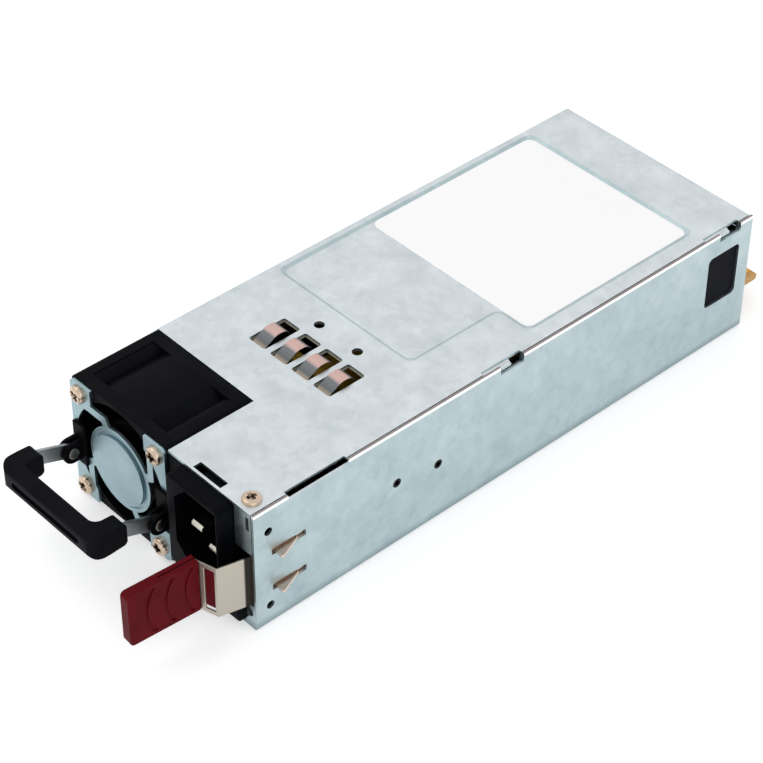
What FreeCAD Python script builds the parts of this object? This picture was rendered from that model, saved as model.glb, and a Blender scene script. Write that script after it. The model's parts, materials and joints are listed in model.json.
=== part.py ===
"""Hot swap server power supply: sheet metal enclosure with a 40 mm fan, an AC inlet, a fold-up pull
handle, a sprung side latch and a gold-fingered card edge, with the converter's main pieces inside.

Millimetres. The origin is the centre of the enclosure's underside. +X is to the right seen from the
inlet end, +Y runs from the inlet end to the card edge, +Z is up.
"""
import FreeCAD, Part
import math
import os

from FreeCAD import Vector

# ---- enclosure: a folded tray with a flat cover between its side walls
WIDTH = 73.5
LENGTH = 185.0
HEIGHT = 40.0
SHEET = 0.8                  # thickness of every steel sheet
SEAM = 0.25                  # gap between the cover and the side walls
BEND = 1.0                   # outside radius of the folds
FLANGE_DROP = 6.0            # how far the cover's edges are folded down
HOOK_FROM_FRONT = (85.0, 171.3)   # hooks of the cover, each at the front end of a notch in the right wall
HOOK_WIDTH = 3.5
HOOK_PLAY = 0.3
HOOK_REACH = 0.7             # how far a hook stands out over the wall
NOTCH_LENGTH = 8.6
NOTCH_DEPTH = 2.6
WALL_RELIEF = (11.5, 31.5)   # low stretch of the right wall's top edge, from the front
RELIEF_DEPTH = 1.3           # down the wall
RELIEF_WIDTH = 0.9           # into the cover
RECESS_DEPTH = 0.5           # pressed panel in the cover
RECESS_SLOPE = 1.1           # width of its sloped sides
RECESS_SIDE = 3.5
RECESS_RIGHT = 7.0
RECESS_CORNER = 2.5
RECESS_FRONT = (69.5, 102.0)
RECESS_BACK = 165.6
RECESS_SHORT = 15.0          # how much narrower the front half of the recess is, on the right
LABEL_THICKNESS = 0.12
STRIP_LOW = 26.0             # lower end of the cover's front strip, beside the inlet
LIP_WIDTH = 4.6              # front lip of the tray
LIP_HEIGHT = 8.0
LIP_HOLE = (2.7, 5.0)        # from the right side, and height
STOP_SIDE = 3.6              # moulded stop on the front: from the right side
STOP_HEIGHTS = (2.6, 7.0)
STOP_REACH = 2.8
FRONT_SCREWS = ((4.7, 6.6), (4.7, 32.2))       # plain holes of the right wall: from the front, and height
WINDOW_SIDES = (17.6, 4.8)   # window of the right wall: from the rear
WINDOW_ENDS = (15.3, 32.8)   # and its lower and upper ends
VENT_PITCH = 6.4             # hexagonal holes of the rear wall
VENT_ACROSS = 5.0
SLOT_SIZE = (6.6, 12.6)      # slots that the grounding fingers rise through
SLOT_PITCH = 8.6
SLOT_FIRST = (19.75, 43.7)   # from the left side and from the front

# ---- fan: a 40 x 40 x 28 axial fan that fills the enclosure's left front corner
FAN_SIZE = 40.0
FAN_DEPTH = 28.0
FAN_FLANGE = 4.0
FAN_EDGE = 4.0               # from the fan's sides to its screws
FAN_POST_RADIUS = 3.7        # screw posts, filled out to the corners
FAN_BULGE = 1.5              # how far the duct's barrel would pass the fan's sides, before it is cut flat
FAN_WALL = 1.0               # from the bore to the fan's sides
FAN_GAP = 0.3
FAN_HUB_RADIUS = 12.0
FAN_TIP_GAP = 0.6
FAN_BLADES = 7
SHAFT_RADIUS = 1.5
SHAFT_CLEARANCE = 0.05
BEARING_RADIUS = 3.0
TUBE_RADIUS = 4.2
GUARD_THICKNESS = 1.0
GUARD_RIM = 1.5              # from the guard's opening to the fan's sides
GUARD_EAR = 8.8              # width of its two rails at the screws
GUARD_DISC_INSET = 9.5       # from the fan's sides to the disc, which leaves room for the brackets
GUARD_DISC_RISE = 0.8        # the disc stands this far in front of the ring
GUARD_ARM_LEVEL = 6.7        # from the fan's side to the middle of the arm that leaves the ear along it
GUARD_RING_GAP = 0.9         # groove between the disc and the ring
GUARD_RING_WIDTH = 1.2
GUARD_ARM = 2.4
SCREW_HEAD_RADIUS = 2.7
SCREW_HEAD_HEIGHT = 1.6
COVER_SCREW_HEAD_HEIGHT = 1.1
SCREW_RADIUS = 1.5

# ---- pull handle: a flat steel strap with a moulded grip, on two riveted brackets
PIVOT_FORWARD = 4.4          # rivet axis in front of the enclosure
PIVOT_HEIGHT = 17.4
ARM_INSET = 1.1              # how much narrower than the fan the strap is, on each side
HANDLE_SHIFT = 1.1           # middle of the handle, to the right of the fan's axis
STRAP_THICKNESS = 1.0
STRAP_HEIGHT = 4.6
GRIP_LIFT = 3.9              # level grip's middle above the rivet axis, at rest
HANDLE_REACH = 21.8          # from the rivet axis to the grip's outer face
GRIP_LENGTH = 11.1           # from the outer face to the ends of its legs
GRIP_OVER = 1.3              # grip's sides outside the strap's arms
GRIP_LEG = 5.0
GRIP_BAR = 4.6
GRIP_HEIGHT = 7.6
GRIP_LEG_END_HEIGHT = 7.0
CHEEK = 1.0
CHEEK_RIM = 1.0              # cheek round the strap's eye
BRACKET_SHEET = 0.9
BRACKET_LOW = 5.2            # bracket's back plate, below and above the rivet axis
BRACKET_HIGH = 8.2
STRAP_PLAY = 0.15
RIVET_RADIUS = 1.1
RIVET_HEAD_RADIUS = 1.8
RIVET_HEAD = 0.45
RIVET_CLEARANCE = 0.05

# ---- AC inlet, on its end with the earth blade towards the fan
INLET_FROM_RIGHT = 17.0      # centre of the socket
INLET_HEIGHT = 25.3
INLET_CAVITY = (16.3, 24.4)
INLET_DEPTH = 16.0
INLET_PROUD = 5.0
INLET_COLLAR = (3.4, 1.0)    # collar's width round the socket, on the fan side and on the latch side
INLET_WALL = 1.0             # round the socket, behind the collar
INLET_CHAMFER = 4.6          # socket's two cut corners
COLLAR_LOW = 8.4
COLLAR_TOP_GAP = 1.0
BLADE = (4.0, 2.0)
BLADE_PITCH = 14.0
BLADE_OFFSET = 2.0
EARTH_REACH = 3.0
LINE_REACH = 1.0

# ---- latch: a spring leaf inside the right wall, with two teeth and a moulded tab
LEAF_THICKNESS = 0.5
LEAF_LOW = 9.0
LEAF_HIGH = 25.8
LEAF_GAP = 0.2               # between the leaf and the wall
LEAF_ROOT = 44.2             # bend line of the leaf, from the front
FOOT_END = 67.0
TOOTH_HEIGHTS = (11.9, 24.2)
TOOTH_THICKNESS = 0.8
TOOTH_PROUD = 2.9
TOOTH_FRONT = 6.6
TOOTH_BACK = 14.2
TOOTH_PLAY = 0.35            # slot under and in front of a tooth
TOOTH_ROOM = 0.9             # slot above it
TOOTH_SLOT_BACK = 16.9
LATCH_RIVETS = ((48.1, 21.7), (62.8, 19.4))    # from the front, and height
LATCH_RIVET_RADIUS = 1.4
LEAF_FOLD = (3.7, 9.2)       # fold: in from the right side, and forward of the enclosure
TAB_ROOT = (10.0, 11.0)      # middle of the tab's rear end: in from the right side, and forward
TAB_LOW = 9.2
TAB_HIGH = 26.2
TAB_LENGTH = 21.2
TAB_SKEW = 4.0               # degrees that the tab leans towards the inlet
TAB_THICKNESS = 3.1
TAB_RIB_PITCH = 5.7
TAB_RIB_RADIUS = 12.0
PLUG_THICKNESS = 0.9         # bar of the tab behind the leaf's window

# ---- board and card edge
BOARD_HEIGHT = 4.0
BOARD_THICKNESS = 1.6
BOARD_MARGIN = 2.4
CARD_WIDTH = 62.0
CARD_FROM_RIGHT = 6.0
CARD_HEIGHT = 7.0
CARD_THICKNESS = 2.4
CARD_PROUD = 13.2
CONTACT_THICKNESS = 0.12
CONTACT_PITCH = 2.48

LEFT, RIGHT = -WIDTH / 2, WIDTH / 2
FRONT, REAR = -LENGTH / 2, LENGTH / 2
FAN_X, FAN_Z = LEFT + FAN_SIZE / 2, FAN_SIZE / 2
FAN_PITCH = FAN_SIZE - 2 * FAN_EDGE
FAN_BORE_RADIUS = FAN_SIZE / 2 - FAN_WALL
GUARD_DISC_RADIUS = FAN_SIZE / 2 - GUARD_DISC_INSET
BAY_RIGHT = LEFT + FAN_SIZE + FAN_GAP
BAY_REAR = FRONT + FAN_DEPTH
COVER_UNDER = HEIGHT - SHEET
INLET_X = RIGHT - INLET_FROM_RIGHT
INLET_REAR = FRONT + INLET_DEPTH - INLET_PROUD + 2.5
COLLAR_LEFT = INLET_X - INLET_CAVITY[0] / 2 - INLET_COLLAR[0]
COLLAR_RIGHT = INLET_X + INLET_CAVITY[0] / 2 + INLET_COLLAR[1]
PANEL_RIGHT = COLLAR_RIGHT + 0.2
PIVOT_Y = FRONT - PIVOT_FORWARD
HANDLE_X = FAN_X + HANDLE_SHIFT
ARM_LEFT, ARM_RIGHT = HANDLE_X - FAN_SIZE / 2 + ARM_INSET, HANDLE_X + FAN_SIZE / 2 - ARM_INSET
GRIP_Y, GRIP_Z = PIVOT_Y - HANDLE_REACH, PIVOT_HEIGHT + GRIP_LIFT
WALL_INSIDE = RIGHT - SHEET
BOARD_TOP = BOARD_HEIGHT + BOARD_THICKNESS


# ---------------------------------------------------------------- shape helpers
def box(x0, x1, y0, y1, z0, z1):
    return Part.makeBox(x1 - x0, y1 - y0, z1 - z0, Vector(x0, y0, z0))


def rod(radius, start, end):
    way = Vector(*end) - Vector(*start)
    return Part.makeCylinder(radius, way.Length, Vector(*start), way)


def ring(outer, inner, start, end):
    return rod(outer, start, end).cut(rod(inner, start, end))


def face(points):
    return Part.Face(Part.makePolygon(points + points[:1]))


def plate_x(outline, x0, x1):
    """A closed outline of (y, z) points, from x0 to x1."""
    return face([Vector(x0, y, z) for y, z in outline]).extrude(Vector(x1 - x0, 0, 0))


def plate_y(outline, y0, y1):
    """A closed outline of (x, z) points, from y0 to y1."""
    return face([Vector(x, y0, z) for x, z in outline]).extrude(Vector(0, y1 - y0, 0))


def plate_z(outline, z0, z1):
    """A closed outline of (x, y) points, from z0 to z1."""
    return face([Vector(x, y, z0) for x, y in outline]).extrude(Vector(0, 0, z1 - z0))


def band(points, thickness):
    """Closed outline of a strip of even thickness that follows an open line, with mitred folds."""
    sides = []
    for sign in (1, -1):
        side = []
        for k, (a, b) in enumerate(points):
            before = Vector(a - points[k - 1][0], b - points[k - 1][1], 0) if k else None
            after = Vector(points[k + 1][0] - a, points[k + 1][1] - b, 0) if k + 1 < len(points) else None
            before, after = before or after, after or before
            n0 = Vector(-before.y, before.x, 0).normalize()
            n1 = Vector(-after.y, after.x, 0).normalize()
            mitre = (n0 + n1).normalize()
            reach = thickness / 2 / mitre.dot(n0)
            side.append((a + sign * mitre.x * reach, b + sign * mitre.y * reach))
        sides.append(side)
    return sides[0] + sides[1][::-1]


def join(shapes):
    first, rest = shapes[0], shapes[1:]
    return first.fuse(rest).removeSplitter() if rest else first


def group(shapes):
    return Part.Compound(shapes)


def edges_along(shape, direction, where=None):
    """Straight edges of the shape that run along a direction, and whose middle passes a test."""
    found = []
    for edge in shape.Edges:
        if not isinstance(edge.Curve, Part.Line):
            continue
        if edge.tangentAt(edge.FirstParameter).cross(direction).Length > 1e-4:
            continue
        if where is None or where(edge.CenterOfMass):
            found.append(edge)
    return found


X, Y, Z = Vector(1, 0, 0), Vector(0, 1, 0), Vector(0, 0, 1)


def rounded(shape, radius, direction, where=None):
    return shape.makeFillet(radius, edges_along(shape, direction, where))


def chamfered(shape, size, direction, where=None):
    return shape.makeChamfer(size, edges_along(shape, direction, where))


# ---------------------------------------------------------------- enclosure
def wall_hole(radius, from_front, height):
    y = FRONT + from_front
    return rod(radius, (RIGHT - 2 * SHEET, y, height), (RIGHT + 1, y, height))


def vent_holes(y0, y1):
    """Hexagonal holes in staggered rows across the rear wall, above the card."""
    pitch, across = VENT_PITCH, VENT_ACROSS
    low = CARD_HEIGHT + CARD_THICKNESS + 8
    high = HEIGHT - FLANGE_DROP - across / 2 - 1
    rows = int((high - low) / (pitch * math.sqrt(3) / 2)) + 1
    holes = []
    for row in range(rows):
        count = int((WIDTH - 12) / pitch) - row % 2
        z = low + row * pitch * math.sqrt(3) / 2
        for column in range(count):
            x = (column - (count - 1) / 2) * pitch
            corners = [(x + across / math.sqrt(3) * math.sin(math.radians(60 * k)),
                        z + across / math.sqrt(3) * math.cos(math.radians(60 * k))) for k in range(6)]
            holes.append(plate_y(corners, y0, y1))
    return holes


def base_tray():
    """Floor, two side walls and the rear wall; the fan's corner is left out."""
    tray = box(LEFT, RIGHT, FRONT, REAR, 0, HEIGHT)
    tray = rounded(tray, BEND, Y, lambda p: p.z < 1)
    tray = tray.cut(box(LEFT + SHEET, WALL_INSIDE, FRONT - 1, REAR - SHEET, SHEET, HEIGHT + 1))
    bay = box(LEFT - 1, BAY_RIGHT, FRONT - 1, BAY_REAR, -1, HEIGHT + 1)
    under_cover = HEIGHT - FLANGE_DROP - SEAM
    over_left = box(LEFT - 1, LEFT + 2 * SHEET, FRONT - 1, REAR + 1, under_cover, HEIGHT + 1)
    over_rear = box(LEFT - 1, WALL_INSIDE, REAR - 2 * SHEET, REAR + 1, under_cover, HEIGHT + 1)
    tray = tray.cut([bay, over_left, over_rear])
    fan_stop = box(LEFT + SHEET, BAY_RIGHT, BAY_REAR, BAY_REAR + SHEET, SHEET, 7.5)
    lip = box(RIGHT - LIP_WIDTH, WALL_INSIDE, FRONT, FRONT + SHEET, SHEET, LIP_HEIGHT)
    tray = join([tray, fan_stop, lip])

    cuts = [wall_hole(1.25, *place) for place in FRONT_SCREWS]
    cuts += [wall_hole(LATCH_RIVET_RADIUS, *place) for place in LATCH_RIVETS]
    for height in TOOTH_HEIGHTS:
        cuts.append(box(WALL_INSIDE - 1, RIGHT + 1, FRONT + TOOTH_FRONT - 1.0, FRONT + TOOTH_SLOT_BACK,
                        height - TOOTH_THICKNESS / 2 - TOOTH_PLAY, height + TOOTH_THICKNESS / 2 + TOOTH_ROOM))
    window = box(WALL_INSIDE - 1, RIGHT + 1, REAR - WINDOW_SIDES[0], REAR - WINDOW_SIDES[1], *WINDOW_ENDS)
    cuts.append(rounded(window, 1.5, X))
    cuts.append(box(WALL_INSIDE - 1, RIGHT + 1, FRONT + WALL_RELIEF[0], FRONT + WALL_RELIEF[1],
                    HEIGHT - RELIEF_DEPTH, HEIGHT + 1))
    for start in HOOK_FROM_FRONT:
        cuts.append(box(WALL_INSIDE - 1, RIGHT + 1, FRONT + start, FRONT + start + NOTCH_LENGTH,
                        HEIGHT - NOTCH_DEPTH, HEIGHT + 1))
    x0, x1 = card_x()
    card_slot = box(x0 - 1.5, x1 + 1.5, REAR - 2 * SHEET, REAR + 1,
                    CARD_HEIGHT - 2.2, CARD_HEIGHT + CARD_THICKNESS + 2.2)
    cuts.append(rounded(card_slot, 1.0, Y))
    x, z = RIGHT - LIP_HOLE[0], LIP_HOLE[1]
    cuts.append(rod(1.2, (x, FRONT - 1, z), (x, FRONT + 2, z)))
    cuts += [rod(1.6, (x, y, -1), (x, y, SHEET + 1)) for x, y in standoff_places()]
    return tray.cut(cuts + vent_holes(REAR - 2 * SHEET, REAR + 1))


def recess_outline(inset):
    """Floor of the L-shaped pressed panel; inset moves the whole outline inwards."""
    x0, x1 = LEFT + RECESS_SIDE + inset, RIGHT - RECESS_RIGHT - inset
    short = RIGHT - RECESS_RIGHT - RECESS_SHORT + 3.5 - inset
    y0, y1 = (FRONT + y + inset for y in RECESS_FRONT)
    y2 = FRONT + RECESS_BACK - inset
    return [(x0, y0), (short, y0), (short, y1), (x1, y1), (x1, y2), (x0, y2)]


def recess_pocket():
    """Room of the pressed panel, from its floor up, with sloped sides."""
    rims = []
    for inset, z in ((0, HEIGHT - RECESS_DEPTH), (-2 * RECESS_SLOPE, HEIGHT + RECESS_DEPTH)):
        plate = rounded(plate_z(recess_outline(inset), z, z + 1), RECESS_CORNER, Z)
        rims += [f.OuterWire for f in plate.Faces if abs(f.CenterOfMass.z - z) < 1e-6]
    return Part.makeLoft(rims, True, True)


def spring_slots():
    """Corners (x0, x1, y0, y1) of the four slots that the grounding fingers rise through."""
    starts = [(LEFT + SLOT_FIRST[0] + SLOT_PITCH * k, FRONT + SLOT_FIRST[1]) for k in range(4)]
    return [(x, x + SLOT_SIZE[0], y, y + SLOT_SIZE[1]) for x, y in starts]


FINGER_RISE = 1.8                 # of a finger's crest above the cover
FINGER_LINE = ((0.0, 0.0), (0.06, 0.0), (0.26, 0.55), (0.36, 0.85),
               (0.45, 1.0), (0.60, 0.97), (0.69, 0.75), (0.77, 0.25))    # shares of the slot and of the rise
TONGUES = (40.0, 95.0, 150.0)     # on the left side, behind the tray's wall
SPRING_RIVETS = [(LEFT + 28.2, FRONT + 61.3), (LEFT + 43.4, FRONT + 61.3)]
COVER_SCREW = (PANEL_RIGHT + 2.45, FRONT + 4.0)


def top_cover():
    """Flat cover: folded down on its left, right and rear sides, with a strip beside the inlet."""
    x1 = WALL_INSIDE - SEAM
    low = HEIGHT - FLANGE_DROP
    shell = box(LEFT, x1, FRONT, REAR, low, HEIGHT)
    shell = rounded(shell, BEND, Y, lambda p: p.x < 0 and p.z > low + 1)
    shell = rounded(shell, BEND, X, lambda p: p.y > 0 and p.z > low + 1)
    shell = shell.cut(box(LEFT + SHEET, x1 - SHEET, FRONT - 1, REAR - SHEET, low - 1, COVER_UNDER))
    bay = box(LEFT - 1, BAY_RIGHT, FRONT - 1, BAY_REAR + SEAM, 0, HEIGHT + 1)
    right_end = box(x1 - SHEET, x1 + 1, FRONT - 1, FRONT + WALL_RELIEF[1] + 1, low - 1, COVER_UNDER)
    strip = box(PANEL_RIGHT + 0.2, x1, FRONT, FRONT + SHEET, STRIP_LOW, COVER_UNDER)
    pressed = rounded(plate_z(recess_outline(-RECESS_SLOPE), COVER_UNDER - RECESS_DEPTH, COVER_UNDER), 3.0, Z)
    tongues = [box(LEFT + SHEET, LEFT + 2 * SHEET, FRONT + y, FRONT + y + 10, low - 5, low + 3)
               for y in TONGUES]
    hooks = [box(x1 - SHEET, WALL_INSIDE + HOOK_REACH, FRONT + start + HOOK_PLAY,
                 FRONT + start + HOOK_PLAY + HOOK_WIDTH, COVER_UNDER - 0.5, HEIGHT - 0.5)
             for start in HOOK_FROM_FRONT]
    cover = join([shell.cut([bay, right_end]), strip, pressed] + tongues)

    cuts = [recess_pocket()]
    for start in HOOK_FROM_FRONT:
        y = FRONT + start
        cuts.append(box(x1 - 1.0, x1 + 1, y + HOOK_WIDTH + 2 * HOOK_PLAY, y + NOTCH_LENGTH, 36.8, HEIGHT + 1))
        cuts.append(box(x1 - 1.0, x1 + 1, y - 5.5, y + 2 * HOOK_PLAY + HOOK_WIDTH, HEIGHT - 0.4, HEIGHT + 1))
    cuts += [rounded(box(a, b, c, d, COVER_UNDER - 1, HEIGHT + 1), 0.8, Z) for a, b, c, d in spring_slots()]
    cuts += [rod(1.5, (x, y, COVER_UNDER - 1), (x, y, HEIGHT + 1)) for x, y in SPRING_RIVETS]
    cuts.append(rod(1.7, (*COVER_SCREW, COVER_UNDER - 1), (*COVER_SCREW, HEIGHT + 1)))
    cuts.append(box(RIGHT - 24.2, RIGHT - 13.5, FRONT + 0.8, FRONT + 3.4, COVER_UNDER - 1, HEIGHT + 1))
    cuts.append(box(RIGHT - 3.2, RIGHT - 1.9, FRONT - 1, FRONT + 2, 33.5, 38.2))
    cuts.append(box(x1 - RELIEF_WIDTH, x1 + 1, FRONT + WALL_RELIEF[0], FRONT + WALL_RELIEF[1],
                    COVER_UNDER - 1, HEIGHT + 1))
    return join([cover.cut(cuts)] + hooks)


def front_panel():
    """Black sheet behind the inlet's collar: side returns, the cover screw's tab and the latch's stop."""
    sheet = box(BAY_RIGHT, PANEL_RIGHT, FRONT, FRONT + SHEET, SHEET, COVER_UNDER)
    fan_return = box(BAY_RIGHT, BAY_RIGHT + SHEET, FRONT, BAY_REAR + 1, SHEET, COVER_UNDER)
    side_return = box(PANEL_RIGHT - SHEET, PANEL_RIGHT, FRONT, FRONT + 9, SHEET, COVER_UNDER)
    tab = box(PANEL_RIGHT, WALL_INSIDE - 1, FRONT + 1.2, FRONT + 7.4, COVER_UNDER - SHEET, COVER_UNDER)
    foot = box(BAY_RIGHT, BAY_RIGHT + 6, BAY_REAR - 9, BAY_REAR + 1, SHEET, 2 * SHEET)
    stop = box(PANEL_RIGHT - 1.2, RIGHT - STOP_SIDE, FRONT - STOP_REACH, FRONT, *STOP_HEIGHTS)
    stop = rounded(stop, 0.8, Z, lambda p: p.y < FRONT - 1)
    panel = join([sheet, fan_return, side_return, tab, foot, stop])
    vents = [box(BAY_RIGHT - 1, BAY_RIGHT + 2, FRONT + 6 + 5 * k, FRONT + 8.6 + 5 * k, 10, HEIGHT - 10)
             for k in range(4)]
    hole = rod(SCREW_RADIUS, (*COVER_SCREW, COVER_UNDER - 2), (*COVER_SCREW, HEIGHT))
    return panel.cut([inlet_neck(0.1), hole] + vents)


def pan_screw(head_radius, head_height, length, base, axis, recess=0.0):
    """A pan head screw; base is the centre of the head's seat, and axis points out of the head."""
    radius = SCREW_RADIUS - 0.01
    profile = [(0, -length), (radius, -length), (radius, 0), (head_radius, 0),
               (head_radius, head_height * 0.45), (head_radius * 0.66, head_height), (0, head_height)]
    outline = Part.makePolygon([Vector(a, 0, b) for a, b in profile + profile[:1]])
    screw = Part.Face(outline).revolve(Vector(0, 0, 0), Z, 360)
    if recess:
        arm, half = head_radius * 0.6, 0.35
        bars = [box(-a, a, -b, b, head_height - recess, head_height + 1)
                for a, b in ((arm, half), (half, arm))]
        screw = screw.cut(join(bars))
    turn = FreeCAD.Rotation(Z, Vector(*axis))
    screw.Placement = FreeCAD.Placement(Vector(*base), turn)
    return screw


def cover_screw():
    return pan_screw(SCREW_HEAD_RADIUS, COVER_SCREW_HEAD_HEIGHT, 5.0, (*COVER_SCREW, HEIGHT), (0, 0, 1), 0.6)


def grounding_springs():
    """A thin strip under the cover whose four fingers ramp up through the slots."""
    thin, width = 0.25, 4.8
    low = COVER_UNDER - thin
    first, last = spring_slots()[0], spring_slots()[-1]
    strip = box(first[0] - 1.8, last[1] + 1.8, first[2] - 2.2, first[3] + 8.7, low, COVER_UNDER)
    openings = [box(a + 0.4, b - 0.4, c + 0.4, d - 0.4, low - 1, HEIGHT) for a, b, c, d in spring_slots()]
    openings += [rod(1.5, (x, y, low - 1), (x, y, HEIGHT)) for x, y in SPRING_RIVETS]
    parts = [strip.cut(openings)]
    base = low + thin / 2
    rise = HEIGHT + FINGER_RISE - thin - base
    for a, b, c, d in spring_slots():
        line = [(c + s * (d - c), base + t * rise) for s, t in FINGER_LINE]
        x = (a + b) / 2
        parts.append(plate_x(band(line, thin), x - width / 2, x + width / 2))
    return join(parts)


def spec_label():
    outline = recess_outline(0.2)
    x0, y0 = outline[0][0], outline[3][1]
    x1, y1 = outline[4]
    floor = HEIGHT - RECESS_DEPTH
    return rounded(box(x0, x1, y0, y1, floor, floor + LABEL_THICKNESS), RECESS_CORNER, Z)


def insulator_sheet():
    """A folded black film: it stands inside the right wall behind the window and lies on the floor."""
    thin = 0.4
    x1 = WALL_INSIDE
    y0, y1 = FRONT + FOOT_END + 3, REAR - 2
    wall = box(x1 - thin, x1, y0, y1, SHEET, HEIGHT - FLANGE_DROP - 1)
    floor = box(LEFT + 6, x1, y0, y1, SHEET, SHEET + thin)
    film = join([wall, floor])
    return film.cut([rod(3.4, (x, y, 0), (x, y, 3)) for x, y in standoff_places()])


# ---------------------------------------------------------------- fan
def fan_corners():
    half = FAN_PITCH / 2
    return [(FAN_X + sx * half, FAN_Z + sz * half) for sx in (-1, 1) for sz in (-1, 1)]


def fan_frame():
    """Square block, cut back between its flanges to the duct's barrel and the four screw posts."""
    half, rear = FAN_SIZE / 2, FRONT + FAN_DEPTH
    block = rounded(box(FAN_X - half, FAN_X + half, FRONT, rear, 0, FAN_SIZE), 1.5, Y)
    y0, y1 = FRONT + FAN_FLANGE, rear - FAN_FLANGE
    kept = [rod(half + FAN_BULGE, (FAN_X, y0 - 1, FAN_Z), (FAN_X, y1 + 1, FAN_Z))]
    for x, z in fan_corners():
        kept.append(rod(FAN_POST_RADIUS, (x, y0 - 1, z), (x, y1 + 1, z)))
        away_x, away_z = (half if x > FAN_X else -half), (half if z > FAN_Z else -half)
        corner_x, corner_z = sorted((x, FAN_X + away_x)), sorted((z, FAN_Z + away_z))
        kept.append(box(*corner_x, y0 - 1, y1 + 1, *corner_z))
    waist = box(FAN_X - half - 1, FAN_X + half + 1, y0, y1, -1, FAN_SIZE + 1)
    frame = block.cut(waist.cut(kept))

    frame = frame.cut(rod(FAN_BORE_RADIUS, (FAN_X, FRONT - 1, FAN_Z), (FAN_X, rear + 1, FAN_Z)))
    hub = rod(FAN_HUB_RADIUS - 1, (FAN_X, rear - 3, FAN_Z), (FAN_X, rear, FAN_Z))
    tube = rod(TUBE_RADIUS, (FAN_X, FRONT + 9, FAN_Z), (FAN_X, rear, FAN_Z))
    arms = []
    for k in range(4):
        arm = box(FAN_X - 1.3, FAN_X + 1.3, rear - 3, rear, FAN_Z + 4, FAN_Z + FAN_BORE_RADIUS + 0.5)
        arm.rotate(Vector(FAN_X, 0, FAN_Z), Y, 90 * k + 20)
        arms.append(arm)
    frame = join([frame, hub, tube] + arms)
    holes = [rod(SCREW_RADIUS, (x, FRONT - 1, z), (x, FRONT + FAN_FLANGE + 1, z)) for x, z in fan_corners()]
    holes += [rod(2.1, (x, rear - FAN_FLANGE - 1, z), (x, rear + 1, z)) for x, z in fan_corners()]
    seat = rod(BEARING_RADIUS, (FAN_X, FRONT + 8, FAN_Z), (FAN_X, rear - 2, FAN_Z))
    return frame.cut(holes + [seat])


def fan_bearings():
    inner = SHAFT_RADIUS + SHAFT_CLEARANCE
    starts = (FRONT + 9.6, FRONT + FAN_DEPTH - 6.5)
    return group([ring(BEARING_RADIUS, inner, (FAN_X, y, FAN_Z), (FAN_X, y + 2.5, FAN_Z)) for y in starts])


def fan_stator():
    """Six-tooth laminated core with its windings, pressed on the bearing tube."""
    y0, y1 = FRONT + 11, FRONT + 21
    parts = [ring(TUBE_RADIUS + 1.3, TUBE_RADIUS, (FAN_X, y0, FAN_Z), (FAN_X, y1, FAN_Z))]
    for k in range(6):
        tooth = box(FAN_X - 0.9, FAN_X + 0.9, y0, y1, FAN_Z + TUBE_RADIUS + 1, FAN_Z + 8.2)
        winding = box(FAN_X - 1.9, FAN_X + 1.9, y0 - 0.8, y1 + 0.8, FAN_Z + TUBE_RADIUS + 1.6, FAN_Z + 7.3)
        for piece in (tooth, winding):
            piece.rotate(Vector(FAN_X, 0, FAN_Z), Y, 60 * k)
            parts.append(piece)
    return join(parts)


def blade(angle):
    """One blade: chords at the hub and at the tip, turned against the axis and joined by a loft."""
    sections = []
    for radius, pitch in ((FAN_HUB_RADIUS - 0.4, 52.0), (FAN_BORE_RADIUS - FAN_TIP_GAP, 34.0)):
        chord, thick, camber = 15.0, 0.9, 1.4
        top, low = [], []
        for step in range(5):
            s = step / 4 - 0.5
            bow = camber * (1 - 4 * s * s)
            half = thick / 2 * (1 - 1.4 * s * s)
            top.append((s * chord, bow + half))
            low.append((s * chord, bow - half))
        turn = math.radians(pitch)
        points = []
        for a, b in top + low[::-1]:
            across = a * math.cos(turn) - b * math.sin(turn)
            depth = a * math.sin(turn) + b * math.cos(turn)
            points.append(Vector(FAN_X + across, FRONT + 13.0 + depth, FAN_Z + radius))
        sections.append(Part.makePolygon(points + points[:1]))
    piece = Part.makeLoft(sections, True, True)
    piece.rotate(Vector(FAN_X, 0, FAN_Z), Y, angle)
    return piece


def fan_rotor():
    """Cup with its boss, and blades that run out to the bore's clearance."""
    def at(y):
        return FAN_X, FRONT + y, FAN_Z
    cup = rod(FAN_HUB_RADIUS, at(4), at(22.5))
    cup = cup.makeFillet(1.2, [e for e in cup.Edges if isinstance(e.Curve, Part.Circle)
                               and e.CenterOfMass.y < FRONT + 5])
    room = rod(FAN_HUB_RADIUS - 1.0, at(5.4), at(24))
    boss = rod(3.6, at(5), at(8.4))
    sweep = rod(FAN_BORE_RADIUS - FAN_TIP_GAP, at(4.4), at(22.5))
    hub_core = rod(FAN_HUB_RADIUS - 1.0, at(0), at(26))
    blades = [blade(360 / FAN_BLADES * k).common(sweep).cut(hub_core) for k in range(FAN_BLADES)]
    rotor = join([cup.cut(room), boss] + blades)
    return rotor.cut(rod(SHAFT_RADIUS, at(5), at(9)))


def fan_magnet_ring():
    outer, inner = FAN_HUB_RADIUS - 1.0, FAN_HUB_RADIUS - 3.0
    return ring(outer, inner, (FAN_X, FRONT + 9, FAN_Z), (FAN_X, FRONT + 22, FAN_Z))


def fan_shaft():
    return rod(SHAFT_RADIUS, (FAN_X, FRONT + 5, FAN_Z), (FAN_X, FRONT + FAN_DEPTH - 3.5, FAN_Z))


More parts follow.
